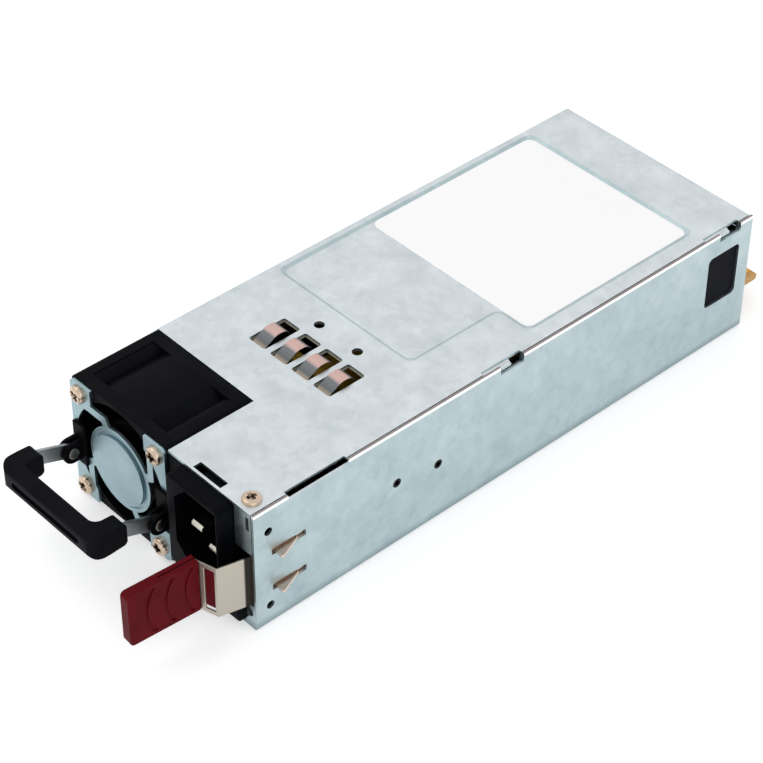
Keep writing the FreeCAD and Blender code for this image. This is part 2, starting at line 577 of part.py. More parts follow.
def fan_guard():
    """Sheet steel guard: a rim with two rails, and a raised disc on a ring held by four bent arms."""
    y0, y1 = FRONT - GUARD_THICKNESS, FRONT
    half = FAN_SIZE / 2
    plate = rounded(box(FAN_X - half + 0.2, FAN_X + half - 0.2, y0, y1, 0.4, FAN_SIZE - 0.4), 1.8, Y)
    opening = rod(half - GUARD_RIM, (FAN_X, y0 - 1, FAN_Z), (FAN_X, y1 + 1, FAN_Z))
    between = half - GUARD_EAR
    middle = box(FAN_X - between, FAN_X + between, y0 - 1, y1 + 1, -1, FAN_SIZE + 1)
    parts = [plate.cut([opening, middle])]

    centre = Vector(FAN_X, 0, FAN_Z)
    level = half - GUARD_ARM_LEVEL
    for k in range(4):
        line = [(FAN_X - half + 4.5, FAN_Z + level), (FAN_X - 6.0, FAN_Z + level),
                (FAN_X - 3.5, FAN_Z + GUARD_DISC_RADIUS - 1.5)]
        arm = plate_y(band(line, GUARD_ARM), y0, y1)
        arm.rotate(centre, Y, 90 * k)
        parts.append(arm)
    groove = GUARD_DISC_RADIUS + GUARD_RING_GAP
    web = GUARD_DISC_RADIUS - GUARD_THICKNESS
    parts.append(ring(groove + GUARD_RING_WIDTH, web, (FAN_X, y0, FAN_Z), (FAN_X, y1, FAN_Z)))
    guard = join(parts).cut(ring(groove, GUARD_DISC_RADIUS, (FAN_X, y0 - 1, FAN_Z), (FAN_X, y0 + 0.5, FAN_Z)))
    disc = rod(GUARD_DISC_RADIUS, (FAN_X, y0 - GUARD_DISC_RISE, FAN_Z), (FAN_X, y0 + 0.3, FAN_Z))
    holes = [rod(SCREW_RADIUS, (x, y0 - 1, z), (x, y1 + 1, z)) for x, z in fan_corners()]
    return join([guard, disc]).cut(holes)


def fan_screws():
    seat = FRONT - GUARD_THICKNESS
    return group([pan_screw(SCREW_HEAD_RADIUS, SCREW_HEAD_HEIGHT, 4.6, (x, seat, z), (0, -1, 0), 0.9)
                  for x, z in fan_corners()])


# ---------------------------------------------------------------- pull handle
def mirrored(shape):
    """The same piece at the handle's other arm."""
    return shape.mirror(Vector(HANDLE_X, 0, 0), X)


def handle_bracket_left():
    """Left bracket: two rounded cheeks on a back plate, with the strap's eye between them."""
    outer = ARM_LEFT - STRAP_PLAY - CHEEK
    width = STRAP_THICKNESS + 2 * STRAP_PLAY + 2 * CHEEK
    back = FRONT - GUARD_THICKNESS
    half = STRAP_HEIGHT / 2 + CHEEK_RIM
    block = box(outer, outer + width, PIVOT_Y, back, PIVOT_HEIGHT - half, PIVOT_HEIGHT + half)
    nose = rod(half, (outer, PIVOT_Y, PIVOT_HEIGHT), (outer + width, PIVOT_Y, PIVOT_HEIGHT))
    plate = box(outer, outer + width + 1.6, back - BRACKET_SHEET, back,
                PIVOT_HEIGHT - BRACKET_LOW, PIVOT_HEIGHT + BRACKET_HIGH)
    slot = box(outer + CHEEK, outer + width - CHEEK, PIVOT_Y - half - 1, back - BRACKET_SHEET, 0, FAN_SIZE)
    hole = rod(RIVET_RADIUS, (outer - 1, PIVOT_Y, PIVOT_HEIGHT), (outer + width + 1, PIVOT_Y, PIVOT_HEIGHT))
    return join([block, nose, plate]).cut([slot, hole])


def handle_bracket_right():
    return mirrored(handle_bracket_left())


def handle_strap():
    """U of flat strap: two arms that climb from round eyes to the level grip, joined through its bar."""
    tip = GRIP_Y + 2.2
    line = [(PIVOT_Y, PIVOT_HEIGHT), (GRIP_Y + GRIP_LENGTH, GRIP_Z), (tip, GRIP_Z)]
    side = plate_x(band(line, STRAP_HEIGHT), ARM_LEFT, ARM_RIGHT)
    outside = rounded(box(ARM_LEFT, ARM_RIGHT, tip, FRONT, 0, HEIGHT), 3.5, Z, lambda p: p.y < tip + 1)
    inside = rounded(box(ARM_LEFT + STRAP_THICKNESS, ARM_RIGHT - STRAP_THICKNESS, tip + STRAP_THICKNESS,
                         FRONT + 1, -1, HEIGHT + 1), 3.5 - STRAP_THICKNESS, Z, lambda p: p.y < tip + 2)
    eyes = [rod(STRAP_HEIGHT / 2, (x, PIVOT_Y, PIVOT_HEIGHT), (x + STRAP_THICKNESS, PIVOT_Y, PIVOT_HEIGHT))
            for x in (ARM_LEFT, ARM_RIGHT - STRAP_THICKNESS)]
    strap = join([side.common(outside).cut(inside)] + eyes)
    return strap.cut(rod(RIVET_RADIUS + RIVET_CLEARANCE, (ARM_LEFT - 1, PIVOT_Y, PIVOT_HEIGHT),
                         (ARM_RIGHT + 1, PIVOT_Y, PIVOT_HEIGHT)))


def handle_grip():
    """Moulded grip over the strap: a bar with two legs that taper towards the rivets."""
    left, right = ARM_LEFT - GRIP_OVER, ARM_RIGHT + GRIP_OVER
    out, start = GRIP_Y, GRIP_Y + GRIP_LENGTH
    tall, small = GRIP_HEIGHT / 2, GRIP_LEG_END_HEIGHT / 2
    side = plate_x([(start, GRIP_Z - small), (start, GRIP_Z + small), (start - 5, GRIP_Z + tall),
                    (out, GRIP_Z + tall), (out, GRIP_Z - tall), (start - 5, GRIP_Z - tall)], left, right)
    side = rounded(side, 2.2, X, lambda p: p.y < out + 0.1)
    side = rounded(side, 1.4, X, lambda p: p.y > start - 0.1)
    plan = rounded(box(left, right, out, start, 0, HEIGHT), 4.2, Z, lambda p: p.y < out + 1)
    gap = rounded(box(left + GRIP_LEG, right - GRIP_LEG, out + GRIP_BAR, start + 1, -1, HEIGHT + 1),
                  2.6, Z, lambda p: p.y < out + GRIP_BAR + 1)
    groove = rounded(box(left + 6, right - 6, out - 1, out + 0.7, GRIP_Z - 1.0, GRIP_Z + 1.0), 0.9, Y)
    return plan.common(side).cut([gap, groove]).cut(handle_strap())


def handle_rivets():
    outer = ARM_LEFT - STRAP_PLAY - CHEEK
    inner = outer + STRAP_THICKNESS + 2 * STRAP_PLAY + 2 * CHEEK
    ends = [rod(radius, (a, PIVOT_Y, PIVOT_HEIGHT), (b, PIVOT_Y, PIVOT_HEIGHT))
            for radius, a, b in ((RIVET_RADIUS, outer, inner), (RIVET_HEAD_RADIUS, outer - RIVET_HEAD, outer),
                                 (RIVET_HEAD_RADIUS, inner, inner + RIVET_HEAD))]
    rivet = join(ends)
    return group([rivet, mirrored(rivet)])


# ---------------------------------------------------------------- AC inlet
def inlet_cavity(grow):
    """The socket's room: its earth side has two chamfered corners."""
    wide, tall = INLET_CAVITY[0] / 2 + grow, INLET_CAVITY[1] / 2 + grow
    cut = INLET_CHAMFER
    return [(INLET_X + wide, INLET_HEIGHT - tall), (INLET_X + wide, INLET_HEIGHT + tall),
            (INLET_X - wide + cut, INLET_HEIGHT + tall), (INLET_X - wide, INLET_HEIGHT + tall - cut),
            (INLET_X - wide, INLET_HEIGHT - tall + cut), (INLET_X - wide + cut, INLET_HEIGHT - tall)]


def inlet_neck(play):
    """The part of the inlet's body that goes through the front panel."""
    return plate_y(inlet_cavity(INLET_WALL + play), FRONT - 1, INLET_REAR)


def blades(y0, earth_y0, y1):
    """Three flat blades: the earth blade on the fan side of the other two."""
    places = [(INLET_X - BLADE_OFFSET, INLET_HEIGHT, earth_y0)]
    places += [(INLET_X + BLADE_OFFSET, INLET_HEIGHT + side * BLADE_PITCH / 2, y0) for side in (1, -1)]
    wide, tall = BLADE[0] / 2, BLADE[1] / 2
    return [box(x - wide, x + wide, start, y1, z - tall, z + tall) for x, z, start in places]


def ac_inlet_body():
    """A flanged socket: the collar stands in front of the panel, the body goes through it."""
    collar = box(COLLAR_LEFT, COLLAR_RIGHT, FRONT - INLET_PROUD, FRONT, COLLAR_LOW, HEIGHT - COLLAR_TOP_GAP)
    collar = rounded(collar, 2.2, Y)
    body = join([collar, inlet_neck(0)])
    rim = [e for e in body.Edges if abs(e.CenterOfMass.y - (FRONT - INLET_PROUD)) < 0.01]
    body = body.makeFillet(0.8, rim)
    depth = plate_y(inlet_cavity(0), FRONT - INLET_PROUD - 1, FRONT - INLET_PROUD + INLET_DEPTH)
    return body.cut([depth] + blades(FRONT, FRONT, FRONT + 20))


def inlet_pins():
    """Earth, line and neutral blades with their solder tails."""
    rear = INLET_REAR
    pins = []
    for pin in blades(FRONT - LINE_REACH, FRONT - EARTH_REACH, rear + 0.6):
        centre, tip = pin.BoundBox.Center, pin.BoundBox.YMin
        pin = chamfered(pin, 0.6, X, lambda p, tip=tip: p.y < tip + 0.01)
        tail = box(centre.x - 1.0, centre.x + 1.0, rear + 0.6, rear + 5.4, centre.z - 0.4, centre.z + 0.4)
        pins.append(join([pin, tail]))
    return group(pins)


def inlet_card():
    """Filter board soldered on the inlet's tails; it stands on the main board."""
    y0 = INLET_REAR + 0.6
    card = box(INLET_X - 10.4, INLET_X + 8.4, y0, y0 + BOARD_THICKNESS, BOARD_TOP, HEIGHT - 3)
    holes = []
    for pin in blades(FRONT, FRONT, FRONT + 1):
        c = pin.BoundBox.Center
        holes.append(box(c.x - 1.0, c.x + 1.0, y0 - 1, y0 + 3, c.z - 0.4, c.z + 0.4))
    return card.cut(holes)


# ---------------------------------------------------------------- latch
def leaf_path():
    """Plan line of the leaf, from its bend line forward to the end inside the tab."""
    base = WALL_INSIDE - LEAF_GAP - LEAF_THICKNESS / 2
    fold_x, fold_y = RIGHT - LEAF_FOLD[0], FRONT - LEAF_FOLD[1]
    tab_x, tab_y = RIGHT - TAB_ROOT[0], FRONT - TAB_ROOT[1]
    skew = math.radians(TAB_SKEW)
    end = 11.0
    return [(base, FRONT + LEAF_ROOT), (base, FRONT + 0.5), (fold_x, fold_y), (tab_x, tab_y),
            (tab_x - end * math.sin(skew), tab_y - end * math.cos(skew))]


def leaf_window():
    """Opening in the diagonal part of the leaf, beside the tab."""
    x0 = RIGHT - TAB_ROOT[0] + TAB_THICKNESS / 2 + 1.2
    x1, y1 = RIGHT - LEAF_FOLD[0] - 0.6, FRONT - LEAF_FOLD[1] + 2
    return box(x0, x1, FRONT - 20, y1, LEAF_LOW + 1.4, LEAF_HIGH - 1.4)


def tooth(height):
    """Flat latch tooth: a long ramp behind and a steep face in front."""
    inside = WALL_INSIDE - LEAF_GAP - LEAF_THICKNESS / 2
    half = TOOTH_THICKNESS / 2
    y0, y1 = FRONT + TOOTH_FRONT, FRONT + TOOTH_BACK
    tip = RIGHT + TOOTH_PROUD
    outline = [(inside, y0), (tip - 0.3, y0), (tip, y0 + 0.5), (RIGHT, y1), (inside, y1)]
    return plate_z(outline, height - half, height + half)


def latch_leaf():
    leaf = plate_z(band(leaf_path(), LEAF_THICKNESS), LEAF_LOW, LEAF_HIGH)
    return join([leaf.cut(leaf_window())] + [tooth(height) for height in TOOTH_HEIGHTS])


def latch_foot():
    """The riveted end of the spring leaf, behind its bend line."""
    x0 = WALL_INSIDE - LEAF_THICKNESS
    foot = box(x0, WALL_INSIDE, FRONT + LEAF_ROOT + 0.3, FRONT + FOOT_END, LEAF_LOW + 2, LEAF_HIGH + 1.2)
    foot = rounded(foot, 1.5, X, lambda p: p.y > FRONT + FOOT_END - 1)
    return foot.cut([wall_hole(LATCH_RIVET_RADIUS, *place) for place in LATCH_RIVETS])


def latch_rivets():
    """Two hollow rivets that hold the leaf's foot on the wall."""
    rivets = []
    x0 = WALL_INSIDE - LEAF_THICKNESS
    for from_front, height in LATCH_RIVETS:
        y = FRONT + from_front
        shank = ring(LATCH_RIVET_RADIUS, 0.8, (x0, y, height), (RIGHT, y, height))
        head = ring(LATCH_RIVET_RADIUS + 0.9, 0.8, (x0 - 0.6, y, height), (x0, y, height))
        rivets.append(join([shank, head]))
    return group(rivets)


def latch_tab():
    """Moulded tab round the leaf's front end: curved grip ribs, and a bar behind the leaf's window."""
    x, y = RIGHT - TAB_ROOT[0], FRONT - TAB_ROOT[1]
    half, middle = TAB_THICKNESS / 2, (TAB_LOW + TAB_HIGH) / 2
    end = y - TAB_LENGTH
    slab = rounded(box(x - half, x + half, end, y, TAB_LOW, TAB_HIGH), 1.4, X, lambda p: p.y < end + 1)
    grooves = []
    for k in range(3):
        centre = y - 4.6 - TAB_RIB_PITCH * k + TAB_RIB_RADIUS
        arc = ring(TAB_RIB_RADIUS + 0.5, TAB_RIB_RADIUS - 0.5,
                   (x - half - 1, centre, middle), (x + half + 1, centre, middle))
        for x0, x1 in ((x + half - 0.3, x + half + 1), (x - half - 1, x - half + 0.3)):
            grooves.append(arc.common(box(x0, x1, end + 1, y - 1.6, TAB_LOW + 1.2, TAB_HIGH - 1.2)))
    slab = slab.cut(grooves)
    slab.rotate(Vector(x, y, 0), Z, -TAB_SKEW)
    low, high = LEAF_LOW + 2.2, LEAF_HIGH - 2.2
    behind = (LEAF_THICKNESS + PLUG_THICKNESS) / 2
    bar = plate_z(band([(RIGHT - LEAF_FOLD[0] - 1.2, FRONT - LEAF_FOLD[1] + behind - 0.3), (x, y + behind)],
                       PLUG_THICKNESS), low, high)
    root = box(x - half, x + 0.3, y - 0.5, y + behind + PLUG_THICKNESS / 2, low, high)
    leaf = plate_z(band(leaf_path(), LEAF_THICKNESS), 0, HEIGHT)
    return join([slab, bar, root]).cut(leaf)


# ---------------------------------------------------------------- board and converter pieces
def standoff_places():
    return [(LEFT + 8, FRONT + 40), (RIGHT - 13, FRONT + 40), (LEFT + 8, REAR - 26), (RIGHT - 13, REAR - 26),
            (RIGHT - 22, FRONT + 23)]


def main_board():
    """L-shaped board: the narrow end lies under the inlet, beside the fan."""
    x0, x1 = LEFT + BOARD_MARGIN, RIGHT - BOARD_MARGIN - 2
    board = box(x0, x1, BAY_REAR + 3, REAR - 14, BOARD_HEIGHT, BOARD_TOP)
    nose = box(BAY_RIGHT + 2, INLET_X + 8.4, FRONT + 12, BAY_REAR + 4, BOARD_HEIGHT, BOARD_TOP)
    holes = [rod(SCREW_RADIUS, (x, y, 0), (x, y, HEIGHT)) for x, y in standoff_places()]
    return join([board, nose]).cut(holes)


def board_standoffs():
    posts = []
    for x, y in standoff_places():
        corners = [(x + 3.0 * math.cos(math.radians(60 * k)), y + 3.0 * math.sin(math.radians(60 * k)))
                   for k in range(6)]
        post = plate_z(corners, SHEET, BOARD_HEIGHT)
        spigot = rod(1.6, (x, y, 0), (x, y, SHEET))
        posts.append(join([post, spigot]).cut(rod(SCREW_RADIUS, (x, y, BOARD_HEIGHT - 3), (x, y, HEIGHT))))
    return group(posts)


def board_screws():
    return group([pan_screw(2.6, 1.5, BOARD_THICKNESS + 2.4, (x, y, BOARD_TOP), (0, 0, 1))
                  for x, y in standoff_places()])


def emi_choke():
    """Toroidal choke on its side, wound in two banks."""
    x, y, z = LEFT + 52.0, FRONT + 44.0, BOARD_TOP + 13.0
    outer, inner, half = 11.2, 5.4, 3.4
    core = ring(outer, inner, (x - half, y, z), (x + half, y, z))
    parts = [core, box(x - 5, x + 5, y - 9, y + 9, BOARD_TOP, BOARD_TOP + 3.0)]
    for k in range(14):
        turn = box(x - half - 0.9, x + half + 0.9, y - 0.6, y + 0.6, z + inner - 0.9, z + outer + 0.9)
        turn.rotate(Vector(x, y, z), X, 30 + 10 * (k % 7) + 180 * (k // 7))
        parts.append(turn)
    return join(parts)


def x_capacitor():
    x, y = LEFT + 30.0, FRONT + 42.0
    case = rounded(box(x - 9, x + 9, y - 5, y + 5, BOARD_TOP + 0.01, BOARD_TOP + 20), 0.8, Z)
    return rounded(case, 0.6, X, lambda p: p.z > BOARD_TOP + 19)


def fuse():
    x, z = INLET_X - 6, BOARD_TOP + 3.4
    y = FRONT + 30.0
    glass = rod(2.4, (x - 2, y, z), (x + 14, y, z))
    caps = [rod(2.8, (x + a, y, z), (x + a + 4, y, z)) for a in (-3, 11)]
    clips = [box(x + a, x + a + 3, y - 2.2, y + 2.2, BOARD_TOP, z) for a in (-2.5, 11.5)]
    return join([glass] + caps + clips)


def heatsink(x, y0, y1, top, side, fins):
    """Finned extrusion standing along the board: a web with fins on one side."""
    web = box(x - 1.2, x + 1.2, y0, y1, BOARD_TOP, top)
    parts = [web, box(x - 2.0, x + 7.0, y0, y1, top - 1.6, top) if side > 0
             else box(x - 7.0, x + 2.0, y0, y1, top - 1.6, top)]
    for k in range(fins):
        z = BOARD_TOP + 5 + (top - BOARD_TOP - 8) * k / fins
        parts.append(box(x, x + 6.5, y0, y1, z, z + 1.0) if side > 0 else box(x - 6.5, x, y0, y1, z, z + 1.0))
    return join(parts)


HEATSINK_X = LEFT + 12.0
HEATSINK_TOP = HEIGHT - 6.0


def primary_heatsink():
    return heatsink(HEATSINK_X, FRONT + 54, FRONT + 108, HEATSINK_TOP, -1, 4)


def power_transistors():
    """Four flat packages clipped along the heatsink, each on three leads."""
    parts = []
    for k in range(4):
        y = FRONT + 60 + 12.5 * k
        case = box(HEATSINK_X + 1.2, HEATSINK_X + 5.8, y - 4.6, y + 4.6, BOARD_TOP + 5, BOARD_TOP + 19)
        leads = [box(HEATSINK_X + 3.2, HEATSINK_X + 3.8, y + d - 0.5, y + d + 0.5, BOARD_TOP, BOARD_TOP + 5)
                 for d in (-3, 0, 3)]
        parts.append(join([case] + leads))
    return group(parts)


def pfc_choke():
    x, y = LEFT + 30.5, FRONT + 64.0
    bobbin = box(x - 9.5, x + 9.5, y - 10, y + 10, BOARD_TOP, BOARD_TOP + 2.5)
    post = box(x - 9, x + 9, y - 9.5, y - 6, BOARD_TOP + 2.5, BOARD_TOP + 24)
    other = box(x - 9, x + 9, y + 6, y + 9.5, BOARD_TOP + 2.5, BOARD_TOP + 24)
    winding = rod(8.2, (x, y - 6, BOARD_TOP + 13), (x, y + 6, BOARD_TOP + 13))
    return join([bobbin, post, other, winding])


def can(x, y, radius, z0, z1):
    """Electrolytic capacitor: a can with a crimp groove near its foot and a bevelled shoulder."""
    profile = [(0, z0), (radius, z0), (radius, z0 + 2), (radius - 0.5, z0 + 2.5), (radius, z0 + 3),
               (radius, z1 - 0.7), (radius - 0.7, z1), (0, z1)]
    outline = Part.makePolygon([Vector(x + r, y, z) for r, z in profile + profile[:1]])
    return Part.Face(outline).revolve(Vector(x, y, 0), Z, 360)


def bulk_capacitors():
    return group([can(LEFT + 53.5, FRONT + y, 9.0, BOARD_TOP, HEIGHT - 6) for y in (66, 86, 106)])


def transformer_core():
    x, y = LEFT + 31.0, FRONT + 96.0
    core = box(x - 10.5, x + 10.5, y - 14, y + 14, BOARD_TOP + 2, BOARD_TOP + 26)
    room = box(x - 11, x + 11, y - 9, y + 9, BOARD_TOP + 7, BOARD_TOP + 21)
    centre = rod(5.0, (x, y, BOARD_TOP + 6), (x, y, BOARD_TOP + 22))
    feet = [box(x - 9, x + 9, y + a - 1.5, y + a + 1.5, BOARD_TOP, BOARD_TOP + 2) for a in (-11, 11)]
    return join([core.cut(room), centre] + feet)


def transformer_winding():
    x, y = LEFT + 31.0, FRONT + 96.0
    coil = ring(8.6, 5.0, (x, y, BOARD_TOP + 7.6), (x, y, BOARD_TOP + 20.4))
    flanges = [ring(8.9, 5.0, (x, y, BOARD_TOP + z), (x, y, BOARD_TOP + z + 0.6)) for z in (7.0, 20.4)]
    return join([coil] + flanges)


def secondary_heatsink():
    return heatsink(LEFT + 13.5, FRONT + 116, REAR - 32, HEATSINK_TOP, -1, 4)


def output_capacitors():
    places = [(LEFT + 24.5 + 13 * column, REAR - 61.5 + 13 * row) for row in range(2) for column in range(3)]
    return group([rod(5.0, (x, y, BOARD_TOP), (x, y, BOARD_TOP + 20)) for x, y in places])


def control_card():
    x = RIGHT - 9.5
    card = box(x, x + 1.2, FRONT + 76, REAR - 24, BOARD_TOP, HEIGHT - 8)
    chips = [box(x - 1.0, x, FRONT + y, FRONT + y + 7, BOARD_TOP + 8, BOARD_TOP + 15)
             for y in (118, 132, 146)]
    return join([card] + chips)


def card_x():
    x1 = RIGHT - CARD_FROM_RIGHT
    return x1 - CARD_WIDTH, x1


def output_card():
    """Card edge: its tongue stands out of the rear wall, with a keying notch and bevelled lip."""
    x0, x1 = card_x()
    tongue = box(x0, x1, REAR - 22, REAR + CARD_PROUD, CARD_HEIGHT, CARD_HEIGHT + CARD_THICKNESS)
    tongue = tongue.makeChamfer(0.6, edges_along(tongue, X, lambda p: p.y > REAR + CARD_PROUD - 0.1))
    key = box(x0 + 24, x0 + 26, REAR + 3, REAR + CARD_PROUD + 1, 0, HEIGHT)
    return tongue.cut(key)


def card_contacts():
    """Gold contacts in two rows; the wide gap is at the keying notch."""
    x0, x1 = card_x()
    fingers = []
    count = int((CARD_WIDTH - 2) / CONTACT_PITCH)
    for k in range(count):
        x = x0 + 1.6 + CONTACT_PITCH * k
        if x0 + 22.4 < x < x0 + 26.2:
            continue
        for z in (CARD_HEIGHT - CONTACT_THICKNESS, CARD_HEIGHT + CARD_THICKNESS):
            fingers.append(box(x, x + 1.7, REAR + 1.2, REAR + CARD_PROUD - 0.7, z, z + CONTACT_THICKNESS))
    return group(fingers)


def card_blocks():
    """Two copper blocks that carry the output card on the main board and feed it."""
    x0, x1 = card_x()
    return group([box(a, a + 16, REAR - 21, REAR - 15, BOARD_TOP, CARD_HEIGHT) for a in (x0 + 4, x1 - 20)])


NODES = {
    "base_tray": base_tray, "top_cover": top_cover, "front_panel": front_panel, "cover_screw": cover_screw,
    "grounding_springs": grounding_springs, "spec_label": spec_label, "insulator_sheet": insulator_sheet,
    "fan_frame": fan_frame, "fan_bearings": fan_bearings, "fan_stator": fan_stator, "fan_rotor": fan_rotor,
    "fan_magnet_ring": fan_magnet_ring, "fan_shaft": fan_shaft, "fan_guard": fan_guard, "fan_screws": fan_screws,
    "handle_bracket_left": handle_bracket_left, "handle_bracket_right": handle_bracket_right,
    "handle_strap": handle_strap, "handle_grip": handle_grip, "handle_rivets": handle_rivets,
    "ac_inlet_body": ac_inlet_body, "inlet_pins": inlet_pins, "inlet_card": inlet_card,
    "latch_leaf": latch_leaf, "latch_foot": latch_foot, "latch_rivets": latch_rivets, "latch_tab": latch_tab,
    "main_board": main_board, "board_standoffs": board_standoffs, "board_screws": board_screws,
    "emi_choke": emi_choke, "x_capacitor": x_capacitor, "fuse": fuse,
    "primary_heatsink": primary_heatsink, "power_transistors": power_transistors, "pfc_choke": pfc_choke,
    "bulk_capacitors": bulk_capacitors, "transformer_core": transformer_core,
    "transformer_winding": transformer_winding, "secondary_heatsink": secondary_heatsink,
    "output_capacitors": output_capacitors, "control_card": control_card, "output_card": output_card,
    "card_contacts": card_contacts, "card_blocks": card_blocks,
}


def main():
    os.makedirs("parts", exist_ok=True)
    for name, build in NODES.items():
        shape = build()
        print(f"{name:22s} solids {len(shape.Solids):3d}  volume {shape.Volume:10.1f}  valid {shape.isValid()}")
        shape.exportStep(f"parts/{name}.step")


main()
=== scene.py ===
"""Looks of the hot swap server power supply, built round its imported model.

Metres, in the model's own frame: the origin is the centre of the enclosure's underside, +X is to the
right seen from the inlet end, +Y runs to the card edge, +Z is up. Sizes of finishes, edges and fasteners
are in millimetres, and MM makes them metres.
"""
import json
import math

import bmesh
import bpy
from mathutils import Matrix, Vector

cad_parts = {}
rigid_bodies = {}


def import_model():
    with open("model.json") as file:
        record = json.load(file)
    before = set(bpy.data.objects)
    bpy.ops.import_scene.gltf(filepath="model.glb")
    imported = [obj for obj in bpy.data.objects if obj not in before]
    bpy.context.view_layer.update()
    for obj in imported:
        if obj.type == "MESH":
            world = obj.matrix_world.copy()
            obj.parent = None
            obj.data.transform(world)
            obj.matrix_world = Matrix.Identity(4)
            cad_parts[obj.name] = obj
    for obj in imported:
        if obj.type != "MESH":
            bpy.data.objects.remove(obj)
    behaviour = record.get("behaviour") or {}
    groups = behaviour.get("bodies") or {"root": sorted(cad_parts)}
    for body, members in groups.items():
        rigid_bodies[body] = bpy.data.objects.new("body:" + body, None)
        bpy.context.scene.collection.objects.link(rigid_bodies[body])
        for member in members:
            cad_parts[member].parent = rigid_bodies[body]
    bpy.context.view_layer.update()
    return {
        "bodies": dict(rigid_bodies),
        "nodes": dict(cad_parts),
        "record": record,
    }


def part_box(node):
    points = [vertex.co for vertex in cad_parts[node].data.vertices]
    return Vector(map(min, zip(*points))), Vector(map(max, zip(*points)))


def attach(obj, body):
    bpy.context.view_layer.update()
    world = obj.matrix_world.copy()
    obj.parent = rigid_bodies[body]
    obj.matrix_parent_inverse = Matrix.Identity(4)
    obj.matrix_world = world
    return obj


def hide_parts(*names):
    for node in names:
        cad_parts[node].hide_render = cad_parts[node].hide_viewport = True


MM = 0.001

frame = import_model()

SLOT_OF = {part["node"]: part["material_slot"] for part in frame["record"]["subparts"]}


# ---------------------------------------------------------------- camera and lamps
VIEW_AZIMUTH = math.radians(47.35)      # from straight ahead of the inlet end towards the right wall
VIEW_ELEVATION = math.radians(40.42)
VIEW_ROLL = math.radians(0.43)
VIEW_DISTANCE = 668.8 * MM
VIEW_AIM = Vector((2.6, -18.7, 20.0)) * MM
SENSOR_WIDTH = 36.0                     # millimetres
FOCAL_LENGTH = 115.7                    # millimetres
LAMP_AIM = Vector((0, 0, 20.0)) * MM    # the enclosure's middle


def place_camera():
    away = Vector((math.sin(VIEW_AZIMUTH) * math.cos(VIEW_ELEVATION),
                   -math.cos(VIEW_AZIMUTH) * math.cos(VIEW_ELEVATION), math.sin(VIEW_ELEVATION)))
    data = bpy.data.cameras.new("camera")
    data.sensor_width, data.lens = SENSOR_WIDTH, FOCAL_LENGTH
    data.clip_start, data.clip_end = 0.01, 20.0
    camera = bpy.data.objects.new("camera", data)
    turn = (-away).to_track_quat("-Z", "Y").to_matrix() @ Matrix.Rotation(VIEW_ROLL, 3, "Z")
    camera.matrix_world = Matrix.Translation(VIEW_AIM + away * VIEW_DISTANCE) @ turn.to_4x4()
    bpy.context.scene.collection.objects.link(camera)
    bpy.context.scene.camera = camera


def add_lamp(name, power, size, place):
    """A round, soft lamp at a place in metres, turned to the enclosure's middle."""
    data = bpy.data.lights.new(name, "AREA")
    data.energy, data.size, data.shape = power, size, "DISK"
    lamp = bpy.data.objects.new(name, data)
    place = Vector(place)
    turn = (LAMP_AIM - place).to_track_quat("-Z", "Y").to_matrix()
    lamp.matrix_world = Matrix.Translation(place) @ turn.to_4x4()
    bpy.context.scene.collection.objects.link(lamp)


# ---------------------------------------------------------------- colours and nodes
def linear(text):
    """sRGB hex text to a linear colour with full alpha."""
    channels = [int(text[k:k + 2], 16) / 255 for k in (1, 3, 5)]
    return tuple(c / 12.92 if c <= 0.04045 else ((c + 0.055) / 1.055) ** 2.4 for c in channels) + (1.0,)


def add_node(tree, kind, settings=None, **inputs):
    """Adds one node to a tree and returns it.

    settings are the node's own properties, and "stops" are a ramp's (position, hex colour) pairs. inputs are
    values or sockets, named as the node's sockets with _ for a space, or i and the socket's number.
    """
    node = tree.nodes.new(kind)
    for key, value in (settings or {}).items():
        if key == "stops":
            while len(node.color_ramp.elements) < len(value):
                node.color_ramp.elements.new(0.5)
            for element, (position, colour) in zip(node.color_ramp.elements, value):
                element.position, element.color = position, linear(colour)
        else:
            setattr(node, key, value)
    for key, value in inputs.items():
        numbered = key[0] == "i" and key[1:].isdigit()
        socket = node.inputs[int(key[1:]) if numbered else key.replace("_", " ")]
        if isinstance(value, bpy.types.Node):
            value = value.outputs[0]
        if isinstance(value, bpy.types.NodeSocket):
            tree.links.new(value, socket)
        else:
            socket.default_value = value
    return node


def new_material(name):
    """A material with an empty tree, and the object's own place in millimetres to draw its patterns on."""
    material = bpy.data.materials.new(name)
    material.use_nodes = True
    tree = material.node_tree
    tree.nodes.clear()
    place = add_node(tree, "ShaderNodeTexCoord").outputs["Object"]
    return material, tree, add_node(tree, "ShaderNodeMapping", Vector=place, Scale=(1 / MM,) * 3)


def finish_material(material, shader):
    add_node(material.node_tree, "ShaderNodeOutputMaterial", Surface=shader)
    return material


def levelness(tree):
    """How level a surface lies: 0 on an upright wall, 1 on a flat that faces straight up or down."""
    facing = add_node(tree, "ShaderNodeTexCoord").outputs["Normal"]
    upward = add_node(tree, "ShaderNodeSeparateXYZ", Vector=facing).outputs["Z"]
    return add_node(tree, "ShaderNodeMath", {"operation": "ABSOLUTE"}, i0=upward)


